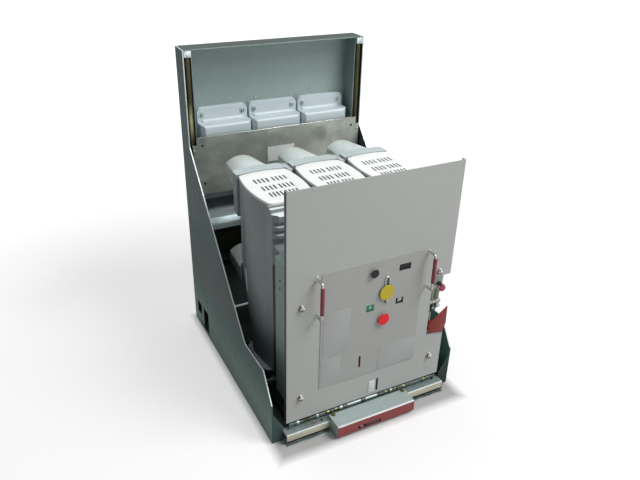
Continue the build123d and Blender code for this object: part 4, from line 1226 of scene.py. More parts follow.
@dataclass
class Cradle(SubAssembly):
    """Fasteners and small fittings of the cradle's sheets."""

    sheet_y: float = 595.0
    plate_out: float = 262.0
    studs: tuple = ((-121.2, 684.5), (-47.0, 679.1), (58.9, 679.0), (126.0, 688.7))
    seats: tuple = ((314.0, 99.0), (237.0, 102.0))
    key_slot: tuple = (532.1, 536.9, 377.1, 462.9)
    # Screws of the rods, tabs and rails at the right.
    rod: Point = (249.0, 534.6, 821.0)
    tab: Point = (230.0, 552.0, 370.0)
    rail: Point = (257.0, 120.0, 97.0)
    key_depth: tuple = (259.3, 261.3)
    bracket: tuple = ((240.0, 534.6, 816.0), (258.6, 552.0, 830.6))
    rail_pitch: float = 320.0
    plate_cut: tuple = (256.0, 264.0)
    openings: tuple = ((530.0, 568.0, 42.0, 82.0), (468.0, 512.0, 9.0, 86.0), (511.0, 545.0, 9.0, 16.0))

    def build(self) -> None:
        """Builds every fitting."""
        self._open_plate("left_side_plate", -1)
        self._open_plate("right_side_plate", 1)
        self._sheets()
        self._rods_and_rails()

    def _sheets(self) -> None:
        """Builds the fittings of the back sheet and of the side plates."""
        places = [(x, self.sheet_y, z) for x, z in self.studs]
        self.screw(
            "back_sheet_studs", Fastener(ScrewHead.RIVET, 3.2, 2.4), places, Facing.FRONT, BRIGHT_STEEL
        )
        sunk = Fastener(ScrewHead.SOCKET, 4.8, 2.4)
        inner = self.plate_out - 2.9
        piece = sunk.fit(Workpiece(), [(inner, y, z) for y, z in self.seats], Facing.RIGHT)
        sunk.fit(piece, [(-inner, y, z) for y, z in self.seats], Facing.LEFT)
        self.keep("side_plate_screws", piece, ZINC_FLAT)
        # Near-black slabs in the key slots of both side plates: painted shade.
        y0, y1, z0, z1 = self.key_slot
        x0, x1 = self.key_depth
        self.keep("key_slot_painted_shade", Workpiece().pair((x0, y0, z0), (x1, y1, z1), 0.0), NEAR_BLACK_PAINTED_SHADE)

    def _rods_and_rails(self) -> None:
        """Builds the fittings of the guide rods, the cross piece and the running rails."""
        x, y, z = self.rod
        self.screw(
            "rod_screws", Fastener(ScrewHead.CROSS, 3.0, 1.8), [(-x, y, z), (x, y, z)], Facing.FRONT,
            BRIGHT_STEEL
        )
        self.keep("rod_bracket_caps", Workpiece().pair(*self.bracket, 0.8), CROSS_ZINC)
        x, y, z = self.tab
        self.screw(
            "cross_piece_screws", Fastener(ScrewHead.HEX, 3.6, 2.4, 5.0), [(-x, y, z), (x, y, z)],
            Facing.UP, BRIGHT_STEEL
        )
        bolts = Fastener(ScrewHead.HEX, 4.5, 3.2, 6.5)
        x, y, z = self.rail
        piece = bolts.fit(Workpiece(), [(x, y, z), (x, y + self.rail_pitch, z)], Facing.LEFT)
        bolts.fit(piece, [(-x, y, z), (-x, y + self.rail_pitch, z)], Facing.RIGHT)
        self.keep("rail_bolts", piece, ZINC_FLAT)

    def _open_plate(self, node: str, side: int) -> None:
        """Cuts the rear openings of a side plate by a modifier, so its own mesh stays as it is.

        Args:
            node: Node of the side plate.
            side: -1 for the left one and 1 for the right one.
        """
        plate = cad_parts[node]
        tree = bpy.data.node_groups.new(f"{node}_openings", "GeometryNodeTree")
        for way in ("INPUT", "OUTPUT"):
            tree.interface.new_socket("Geometry", in_out=way, socket_type="NodeSocketGeometry")
        start, end = tree.nodes.new("NodeGroupInput"), tree.nodes.new("NodeGroupOutput")
        cut = tree.nodes.new("GeometryNodeMeshBoolean")
        cut.operation, cut.solver = "DIFFERENCE", "EXACT"
        tree.links.new(start.outputs[0], cut.inputs["Mesh 1"])
        x0, x1 = sorted(side * x for x in self.plate_cut)
        for y0, y1, z0, z1 in self.openings:
            cube, move = tree.nodes.new("GeometryNodeMeshCube"), tree.nodes.new("GeometryNodeTransform")
            cube.inputs["Size"].default_value = tuple(v / MM_PER_METRE for v in (x1 - x0, y1 - y0, z1 - z0))
            middle = ((x0 + x1) / 2, (y0 + y1) / 2 - FRONT_OFFSET, (z0 + z1) / 2)
            move.inputs["Translation"].default_value = tuple(v / MM_PER_METRE for v in middle)
            tree.links.new(cube.outputs["Mesh"], move.inputs["Geometry"])
            tree.links.new(move.outputs["Geometry"], cut.inputs["Mesh 2"])
        paint = tree.nodes.new("GeometryNodeSetMaterial")
        paint.inputs["Material"].default_value = plate.material_slots[0].material
        tree.links.new(cut.outputs["Mesh"], paint.inputs["Geometry"])
        tree.links.new(paint.outputs["Geometry"], end.inputs[0])
        plate.modifiers.new("rear_openings", "NODES").node_group = tree


@dataclass
class Shutters(SubAssembly):
    """Rims, plates, holes and screws of both shutters."""

    front_y: float = 527.0
    top_z: float = 607.0
    half: float = 243.0
    plate: tuple = (-40.0, 42.0, 510.0, 553.0)
    holes: tuple = ((227.6, 584.0), (227.6, 475.0))
    screw_x: float = 249.7
    screw_rows: tuple = (("upper_shutter", 572.0), ("lower_shutter", 300.0))

    def build(self) -> None:
        """Builds the fittings of the upper shutter and of the lower one."""
        body = "upper_shutter"
        low = (-self.half, self.front_y - 0.5, self.top_z - 1.7)
        high = (self.half, self.front_y + 1.6, self.top_z + 0.4)
        self.keep("upper_shutter_rim", Workpiece().slab(low, high, 0.7, 3), BRIGHT_STEEL, body)
        plate = Workpiece().plate(oblong(*self.plate, 2.0), Facing.FRONT, self.front_y, 0.6, 0.15)
        self.keep("upper_shutter_plate", plate, PALE_PLATE, body)
        # Dark discs at the shutter's holes: painted shade inside them.
        piece = Workpiece()
        for x, z in ((side * x, z) for x, z in self.holes for side in (-1, 1)):
            piece.turned([(3.4, 0.0), (3.4, 0.15), (2.9, 0.2)], (x, self.front_y, z), Facing.FRONT, 24)
        self.keep("upper_shutter_holes", piece, NEAR_BLACK_PAINTED_SHADE, body)
        for node, z in self.screw_rows:
            places = [(side * self.screw_x, self.front_y, z) for side in (-1, 1)]
            self.screw(
                f"{node}_screws", Fastener(ScrewHead.CROSS, 4.2, 2.4), places, Facing.FRONT, BRIGHT_STEEL,
                node
            )


@dataclass
class SpoutRow(SubAssembly):
    """Bosses and screws on the flanges of the three spout housings."""

    pitch: float = 150.0
    flange_y: float = 580.0
    across: float = 58.0
    heights: tuple = (652.0, 189.0)

    def build(self) -> None:
        """Builds the bosses and the screws."""
        xs = [c * self.pitch + s * self.across for c in (-1, 0, 1) for s in (-1, 1)]
        places = [(x, self.flange_y, z) for x in xs for z in self.heights]
        bosses = Workpiece()
        for place in places:
            bosses.turned(
                [(9.0, -0.5), (9.0, 0.6), (8.3, 1.3), (6.6, 1.3), (6.4, 0.5)], place, Facing.FRONT, 28
            )
        self.keep("spout_bosses", bosses, SPOUT_RESIN)
        seats = [(x, y - 0.5, z) for x, y, z in places]
        self.screw("spout_screws", Fastener(ScrewHead.SOCKET, 4.0, 4.0, 6.0), seats, Facing.FRONT, ZINC_FLAT)


@dataclass
class FrontRail(SubAssembly):
    """Strips, teeth and patches of the front rail."""

    half: float = 232.0
    rack_half: float = 112.0
    front_y: float = -19.0
    top_z: float = 28.0
    face: tuple = (9.0, 26.6)
    # Low end of the near-black painted shadow line below the cream face.
    shadow_line_z: float = 3.4
    tooth_pitch: float = 3.4
    # Width, reach to the front, low and high end.
    tooth: tuple = (1.9, 7.9, 1.8, 3.1)
    # Left, low and high end.
    red_line: tuple = (176.0, 22.4, 23.6)
    # Left, right, front and back end.
    patch: tuple = (-160.0, -142.0, -11.0, -5.0)
    hole: tuple = (-130.0, -6.0)

    def build(self) -> None:
        """Builds the rail's fittings on both sides of the racking unit."""
        x0, x1 = self.rack_half + 0.3, self.half - 1.0
        z0, z1 = self.face
        y = self.front_y
        strip = Workpiece().pair((x0, y - 0.7, z0), (x1, y + 0.1, z1), 0.25)
        # The rim above the cream face is in the painted-highlight white.
        rim = Workpiece().pair((x0, y - 0.9, z1), (x1, y + 2.6, self.top_z + 0.25), 0.45, 3)
        # A near-black strip below the cream face: painted shadow line.
        border = Workpiece().pair((x0, y - 0.5, self.shadow_line_z), (x1, y + 0.1, z0 + 0.1), 0.1)
        self.keep("rail_cream_strip", strip, CREAM_STRIP)
        self.keep("rail_bright_rim", rim, PAINTED_HIGHLIGHT_WHITE)
        self.keep("rail_painted_shadow_line", border, NEAR_BLACK_PAINTED_SHADE)
        self.keep("rail_toothed_lip", self._teeth((-x1, x0), x1 - x0), ZINC_DARK)
        line_x, line_low, line_high = self.red_line
        line = Workpiece().slab((line_x, y - 0.95, line_low), (self.half - 4.0, y - 0.6, line_high), 0.1, 1)
        self.keep("rail_red_line", line, RACK_RED)
        self.keep(
            "rail_brown_patch", Workpiece().plate(oblong(*self.patch, 1.5), Facing.UP, self.top_z, 0.5),
            BROWN_PATCH
        )
        # A dark disc at the hole in the rail's top: painted shade.
        hole = Workpiece().turned(
            [(3.2, 0.0), (3.2, 0.25), (2.6, 0.3)], (*self.hole, self.top_z), Facing.UP, 24
        )
        self.keep("rail_hole", hole, NEAR_BLACK_PAINTED_SHADE)
        end = Workpiece().pair((x1, y - 1.0, 3.0), (self.half + 0.6, y + 1.0, self.top_z), 0.4)
        self.keep("rail_end_borders", end, ZINC_DARK)

    def _teeth(self, starts: tuple, length: float) -> Workpiece:
        """Builds the teeth of the rail's lower lip.

        Args:
            starts: Left end of each row.
            length: Length of a row.

        Returns:
            The piece.
        """
        wide, out, low, high = self.tooth
        teeth = Workpiece()
        for start in starts:
            for k in range(int(length / self.tooth_pitch)):
                x = start + k * self.tooth_pitch
                teeth.slab((x, self.front_y - out, low), (x + wide, self.front_y - 0.2, high), 0.25, 1)
        return teeth


@dataclass
class RackingUnit(SubAssembly):
    """Roof rim, screws and crank opening of the racking unit."""

    half: float = 112.0
    front_y: float = -60.0
    top_z: float = 40.0
    # Across and along.
    screws: tuple = ((-101.5, -13.6), (104.0, -13.8))
    slot: tuple = (-55.0, 12.0, 12.0, 22.0)
    bezel: float = 1.1
    socket: tuple = (-43.0, 17.0)
    slide: tuple = (-30.0, 9.0, 13.0, 17.0)
    step: tuple = (50.0, 62.0, 6.4, 8.1)

    def build(self) -> None:
        """Builds the fittings of the racking unit."""
        y, half, top = self.front_y, self.half, self.top_z
        # The roof's front rim is in the painted-highlight white.
        rim = Workpiece().slab((-half, y - 0.1, top - 2.2), (half, y + 4.6, top + 0.3), 0.8, 3)
        self.keep("racking_roof_rim", rim, PAINTED_HIGHLIGHT_WHITE)
        places = [(*screw, top) for screw in self.screws]
        self.screw(
            "racking_roof_screws", Fastener(ScrewHead.HEX, 4.4, 3.4, 6.0), places, Facing.UP, YELLOW_ZINC
        )
        # A near-black plate behind the crank opening: painted shade.
        back = Workpiece().slab((-half + 4, y + 6.0, 9.0), (half - 4, y + 7.5, top - 3.0), 0.4)
        self.keep("racking_inner_painted_shade", back, NEAR_BLACK_PAINTED_SHADE)
        x0, x1, z0, z1 = self.slot
        t = self.bezel
        bezel = Workpiece()
        sides = (
            (x0, z0, x1, z0 + t), (x0, z1 - t, x1, z1), (x0, z0 + t, x0 + t, z1 - t),
            (x1 - t, z0 + t, x1, z1 - t)
        )
        for left, low, right, high in sides:
            bezel.slab((left, y + 0.1, low), (right, y + 1.6, high), 0.2)
        self.keep("racking_slot_frame", bezel, BLACK_PLASTIC)
        rings = [(4.2, 0.0), (4.2, 4.5), (3.7, 5.0), (2.2, 5.0, Outline.HEX), (2.1, 1.0, Outline.HEX)]
        x, z = self.socket
        self.keep(
            "racking_socket", Workpiece().turned(rings, (x, y + 6.2, z), Facing.FRONT, 24), BRIGHT_STEEL
        )
        x0, x1, z0, z1 = self.slide
        self.keep("racking_slide", Workpiece().slab((x0, y + 2.6, z0), (x1, y + 4.0, z1), 0.4), BROWN_PATCH)
        x0, x1, z0, z1 = self.step
        self.keep("racking_face_step", Workpiece().slab((x0, y, z0), (x1, y + 1.2, z1), 0.3), BROWN_PATCH)


class ShaftPart(Enum):
    """Kinds of rings along the interlock shaft, by the radius of each."""

    TUBE = 4.7
    NUT = 5.2
    COLLAR = 5.0
    COIL = 3.9


@dataclass
class InterlockShaft(SubAssembly):
    """Tubes, nuts, collars and springs along the interlock shaft."""

    # Along and up.
    centre: tuple = (3.0, 39.2)
    wire: float = 0.75
    coil_pitch: float = 2.6
    coil_steps: int = 12
    bright: tuple = (
        (ShaftPart.TUBE, -54.0, -13.0), (ShaftPart.TUBE, -1.0, 36.0), (ShaftPart.NUT, -196.0, -189.0),
        (ShaftPart.COLLAR, -142.0, -135.0), (ShaftPart.COLLAR, -76.0, -66.0), (ShaftPart.COIL, 39.0, 56.0),
        (ShaftPart.COLLAR, 74.0, 82.0), (ShaftPart.COIL, 136.0, 168.0)
    )
    yellow: tuple = (
        (ShaftPart.COIL, -178.0, -150.0), (ShaftPart.NUT, -114.0, -105.0), (ShaftPart.NUT, -90.0, -83.0),
        (ShaftPart.NUT, 58.0, 66.0), (ShaftPart.NUT, 88.0, 94.0), (ShaftPart.NUT, 114.0, 122.0),
        (ShaftPart.NUT, 178.0, 186.0)
    )
    dark: tuple = (
        (ShaftPart.COLLAR, -212.0, -203.0), (ShaftPart.TUBE, -133.0, -116.0),
        (ShaftPart.COLLAR, -102.0, -93.0), (ShaftPart.NUT, -64.0, -57.0), (ShaftPart.NUT, -11.0, -3.0),
        (ShaftPart.TUBE, 96.0, 112.0), (ShaftPart.COLLAR, 126.0, 133.0), (ShaftPart.TUBE, 188.0, 206.0)
    )

    def build(self) -> None:
        """Builds the parts of each finish as one piece."""
        rows = (
            (self.bright, "bright", TUBE_ZINC), (self.yellow, "yellow", YELLOW_ZINC),
            (self.dark, "dark", ZINC_DARK)
        )
        for parts, label, finish in rows:
            piece = Workpiece()
            for kind, start, end in parts:
                self._part(piece, kind, start, end)
            self.keep(f"shaft_{label}_parts", piece, finish)

    def _part(self, piece: Workpiece, kind: ShaftPart, start: float, end: float) -> None:
        """Adds one ring or spring to a piece.

        Args:
            piece: Piece that takes it.
            kind: Kind of the ring.
            start: Left end.
            end: Right end.
        """
        y, z = self.centre
        radius, length = kind.value, end - start
        if kind is ShaftPart.COIL:
            steps = self.coil_steps * int(length / self.coil_pitch)
            angles = [2 * math.pi * k / self.coil_steps for k in range(steps + 1)]
            rounds = [(y + radius * math.cos(a), z + radius * math.sin(a)) for a in angles]
            path = [(start + length * k / steps, *around) for k, around in enumerate(rounds)]
            piece.tube(path, self.wire, 6)
            return
        outline = Outline.HEX if kind is ShaftPart.NUT else Outline.ROUND
        profile = [
            (radius - 0.7, 0.0), (radius, 0.6, outline), (radius, length - 0.6, outline),
            (radius - 0.7, length)
        ]
        piece.turned(profile, (start, y, z), Facing.RIGHT, 24)


@dataclass
class Panel(SubAssembly):
    """Sheet, screws, windows, signs and bare plates of the front panel."""

    body: str = "truck"
    half: float = 224.0
    low_z: float = 49.0
    high_z: float = 663.0
    thick: float = 2.0
    fold: float = 12.0
    cut_out: tuple = (172.0, 230.0, 189.0, 362.0)
    stems: tuple = ((-6.5, 6.5, 411.5, 424.5), (25.5, 44.5, 271.5, 290.5))
    slots: tuple = ((-30.0, -24.0, 153.0, 190.0), (28.0, 34.0, 59.0, 98.0))
    cover_y: float = -1.5
    latches: tuple = ((-187.5, 377.0), (187.5, 377.0), (-187.5, 119.0), (187.5, 119.0))
    frames: tuple = ((65.0, 102.0, 405.0, 430.0), (63.0, 89.0, 310.0, 336.0), (-20.0, 4.0, 309.0, 338.0))
    counter: tuple = (66.5, 99.5, 407.5, 426.0)
    charge: tuple = (64.5, 86.5, 315.0, 333.0)
    position: tuple = (-18.0, 3.0, 314.5, 333.5)
    tab: tuple = (6.0, 24.0, 58.0, 96.0)
    plates: tuple = (
        (-132.5, -60.0, 218.0, 343.0), (-136.0, -81.0, 146.0, 212.0), (26.0, 136.5, 131.0, 200.0)
    )
    wheels: int = 5
    wheel_pitch: float = 5.4
    side_screws: tuple = ((-212.0, 60.0, 420.0), (-212.0, 61.0, 400.0))

    def build(self) -> None:
        """Builds the sheet and every fitting."""
        self._sheet()
        self._latches()
        self._windows()
        self._signs()
        self._plates()

    def _sheet(self) -> None:
        """Builds the folded sheet with its cut-out and openings."""
        outer = (-self.half, self.half, self.low_z, self.high_z)
        openings = [self.cut_out, *self.stems, *self.slots, *self.frames]
        panel = Workpiece().sheet(outer, openings, 0.0, self.thick)
        edge, inner = self.half, self.half - self.thick
        panel.slab((-edge, 0.4, self.low_z), (-inner, self.fold, self.high_z), 0.3)
        panel.slab((inner, 0.4, self.cut_out[3]), (edge, self.fold, self.high_z), 0.3)
        panel.slab((inner, 0.4, self.low_z), (edge, self.fold, self.cut_out[2]), 0.3)
        self.keep("panel_sheet", panel, PANEL_PAINT, replaces=("front_panel",))

    def _latches(self) -> None:
        """Builds the quarter-turn screws with their cups and retainers."""
        retainer = [(4.8, 1.4), (4.8, 6.4), (4.2, 7.0), (3.0, 7.0, Outline.CROSS), (2.8, 5.4, Outline.CROSS)]
        cups, heads = Workpiece(), Workpiece()
        for x, z in self.latches:
            cups.turned([(7.6, 0.0), (7.6, 0.8), (6.8, 1.5), (5.4, 1.5)], (x, 0.0, z - 2.0), Facing.FRONT, 28)
            cups.turned(retainer, (x, 0.0, z - 3.0), Facing.FRONT, 24)
            heads.slab((x - 2.0, -8.4, z - 1.0), (x + 2.0, -0.4, z + 8.6), 0.8, 3)
            heads.slab((x - 5.6, -7.6, z - 0.6), (x + 5.6, -5.6, z + 2.2), 0.7, 3)
        self.keep("panel_latch_cups", cups, LATCH_CUP)
        self.keep("panel_latch_heads", heads, CAP_RESIN)

    def _windows(self) -> None:
        """Builds the frames of the sight windows, with near-black painted shade behind them and behind the
        slots.
        """
        frames, backs = Workpiece(), Workpiece()
        for opening, window in zip(self.frames, (self.counter, self.charge, self.position)):
            frames.sheet(opening, [window], self.cover_y, 0.8)
        for x0, x1, z0, z1 in (*self.frames, self.slots[0]):
            backs.slab((x0 - 0.2, 1.2, z0 - 0.2), (x1 + 0.2, 1.9, z1 + 0.2), 0.1, 1)
        x0, x1, z0, z1 = self.slots[1]
        backs.slab((x0, 1.4, z0), (x1, 1.9, z1), 0.1, 1)
        self.keep("panel_window_frames", frames, COVER_PAINT)
        self.keep("panel_window_painted_shade", backs, NEAR_BLACK_PAINTED_SHADE)

    def _signs(self) -> None:
        """Builds the counter's wheels, the signs in the windows and the slide of the key slot."""
        x0, _, z0, z1 = self.counter
        rings = [(4.2, 0.0), (4.6, 0.5), (4.6, 4.2), (4.2, 4.7)]
        wheels = Workpiece()
        for k in range(self.wheels):
            wheels.turned(
                rings, (x0 + 3.4 + k * self.wheel_pitch, 4.4, (z0 + z1) / 2 + 1.5), Facing.RIGHT, 28
            )
        self.keep("counter_wheels", wheels, BLACK_PLASTIC)
        x0, x1, z0, z1 = self.charge
        corners = [(x0 + 6, z0 + 5), (x1 - 6, z0 + 7), (x1 - 2, z1 - 1.0), (x0 + 8, z1 - 1.0)]
        self.keep("charge_sign", Workpiece().plate(corners, Facing.FRONT, 1.0, 0.8), PALE_SIGN)
        x0, x1, z0, z1 = self.position
        corners = oblong(x0 + 1.5, x1 - 0.5, z0 + 2.5, z1 - 0.5)
        self.keep("position_sign", Workpiece().plate(corners, Facing.FRONT, 1.0, 1.0), GREEN_PLASTIC)
        place = ((x0 + x1) / 2 + 1.0, 0.0, (z0 + z1) / 2 + 1.5)
        mark = Workpiece().turned([(3.6, 0.0), (3.6, 0.5), (3.2, 0.7)], place, Facing.FRONT, 24)
        self.keep("position_mark", mark, PALE_SIGN)
        x0, _, z0, z1 = self.slots[0]
        self.keep(
            "key_slot_slide", Workpiece().slab((x0 + 0.4, 0.2, z0 + 0.5), (x0 + 2.4, 1.1, z1 - 0.5), 0.2),
            RED_PAINT
        )

    def _plates(self) -> None:
        """Builds the bare plates, the pale tab and the screws in the side of the mechanism box."""
        plates = Workpiece()
        for outline in self.plates:
            plates.plate(oblong(*outline, 1.5), Facing.FRONT, self.cover_y, 0.35, 0.12)
        self.keep("panel_bare_plates", plates, BARE_PLATE)
        x, _, z0, z1 = self.plates[0]
        border = Workpiece().slab(
            (x - 0.2, self.cover_y - 0.3, z0 + 4), (x + 0.3, self.cover_y, z1 - 2), 0.1, 1
        )
        self.keep("panel_plate_borders", border, ZINC_DARK)
        self.keep("panel_tab", Workpiece().plate(oblong(*self.tab, 1.0), Facing.FRONT, 0.0, 0.8), PALE_PLATE)
        screw = Fastener(ScrewHead.CROSS, 2.6, 1.6)
        self.screw("mechanism_side_screws", screw, list(self.side_screws), Facing.LEFT, ZINC_DARK)


@dataclass
class Handles(SubAssembly):
    """Both pull handles with their grips."""

    body: str = "truck"
    # Side, place across and both ends of the grip.
    places: tuple = (("left", -149.5, 363.0, 434.0), ("right", 149.5, 368.0, 436.0))
    top_z: float = 443.0
    pitch: float = 96.0
    reach: float = 27.0
    radius: float = 3.4
    corner: float = 7.0
    grip_radius: float = 4.7

    def build(self) -> None:
        """Builds the rod and the grip of each handle."""
        low = self.top_z - self.pitch
        y = self.corner - self.reach
        inner = self.radius + 0.1
        line = [(0.6, self.top_z)] + bend((y, self.top_z - self.corner), self.corner, 90, 180)
        line += bend((y, low + self.corner), self.corner, 180, 270) + [(0.6, low)]
        for side, x, z0, z1 in self.places:
            rod = Workpiece().tube([(x, along, up) for along, up in line], self.radius, 20)
            for z in (low, self.top_z):
                rod.turned([(5.8, 0.0), (5.8, 1.0), (5.0, 1.7), (3.6, 1.7)], (x, 0.0, z), Facing.FRONT, 28)
            self.keep(f"{side}_handle_rod", rod, BRIGHT_STEEL, replaces=(f"{side}_handle",))
            r = self.grip_radius
            rings = [
                (inner, 0.0), (r - 0.6, 0.0), (r, 1.0), (r, z1 - z0 - 1.0), (r - 0.6, z1 - z0),
                (inner, z1 - z0)
            ]
            grip = Workpiece().turned(rings, (x, -self.reach, z0), Facing.UP, 28)
            self.keep(f"{side}_handle_grip", grip, GRIP_RUBBER, replaces=(f"{side}_grip",))


@dataclass
class PushButtons(SubAssembly):
    """Caps and collars of the two push buttons."""

    body: str = "truck"
    # Node, middle across and up, radius, half of the stem's width and finish.
    buttons: tuple = (
        ("on_button", -1.5, 419.5, 11.0, 3.5, BLACK_PLASTIC),
        ("off_button", 33.0, 283.0, 15.5, 6.0, RED_PLASTIC)
    )
    back_y: float = -7.5
    cover_y: float = -1.5
    shift: float = 3.0
    stem_y: float = 12.0

    def build(self) -> None:
        """Builds each cap on its own body and its collar on the truck."""
        for node, x, z, r, stem, finish in self.buttons:
            rings = [(r - 0.4, 0.0), (r, 0.3), (r, 0.9), (r - 0.4, 1.4), (0.4 * r, 1.6), (0.1 * r, 1.6)]
            cap = Workpiece().turned(rings, (x - self.shift, self.back_y, z + self.shift), Facing.FRONT, 48)
            cap.slab((x - stem, self.back_y - 0.1, z - stem), (x + stem, self.stem_y, z + stem), 0.4)
            self.keep(f"{node}_cap", cap, finish, node, (node,))
            rings = [(r + 1.6, 0.0), (r + 1.6, 0.5), (r + 1.2, 0.9), (r + 0.5, 0.9), (r + 0.3, 0.0)]
            collar = Workpiece().turned(rings, (x, self.cover_y, z), Facing.FRONT, 48, False)
            self.keep(f"{node}_collar", collar, COVER_PAINT)


@dataclass
class SpringSocket(SubAssembly):
    """Yellow disc, staple and screw of the spring socket."""

    body: str = "truck"
    disc: tuple = (34.6, 360.5, 20.0)
    # Middle across, half of the width and height of the top.
    staple: tuple = (35.6, 5.6, 402.0)
    screw_place: tuple = (38.0, 335.0)
    face_y: float = -1.5

    def build(self) -> None:
        """Builds the disc with its staple."""
        x, z, r = self.disc
        y = self.face_y
        rings = [(r - 0.4, 3.6), (r, 4.0), (r, 5.2), (r - 0.5, 5.8), (0.1 * r, 5.9)]
        plate = Workpiece().turned(rings, (x, y, z), Facing.FRONT, 56)
        plate.turned([(6.0, 0.0), (6.0, 3.8)], (x, y, z), Facing.FRONT, 24)
        self.keep("spring_socket_disc", plate, YELLOW_PLASTIC, replaces=("spring_disc",))
        x, half, top = self.staple
        legs = [(x - half, z + 6.0), *bend((x, top - half), half, 180, 0, 10), (x + half, z + 6.0)]
        loop = Workpiece().tube([(a, y - 1.4, u) for a, u in legs], 2.0, 14)
        self.keep("spring_socket_staple", loop, BRIGHT_STEEL)
        slot = Workpiece().slab((x - half, y - 1.2, z + 10.0), (x + half, y, top - 6.0), 0.4)
        self.keep("spring_socket_slot", slot, ZINC_DARK)
        x, z = self.screw_place
        # A brown disc below and left of the screw: painted shadow.
        foot = Workpiece().turned(
            [(5.4, 0.0), (5.4, 1.0), (4.6, 1.5), (2.0, 1.5)], (x - 1.0, y, z - 2.5), Facing.FRONT, 24
        )
        self.keep("spring_socket_painted_shadow", foot, BROWN_PATCH)
        head = Fastener(ScrewHead.SLOT, 4.2, 3.6)
        self.screw("spring_socket_screw", head, [(x, y - 1.2, z)], Facing.FRONT, BRIGHT_STEEL)


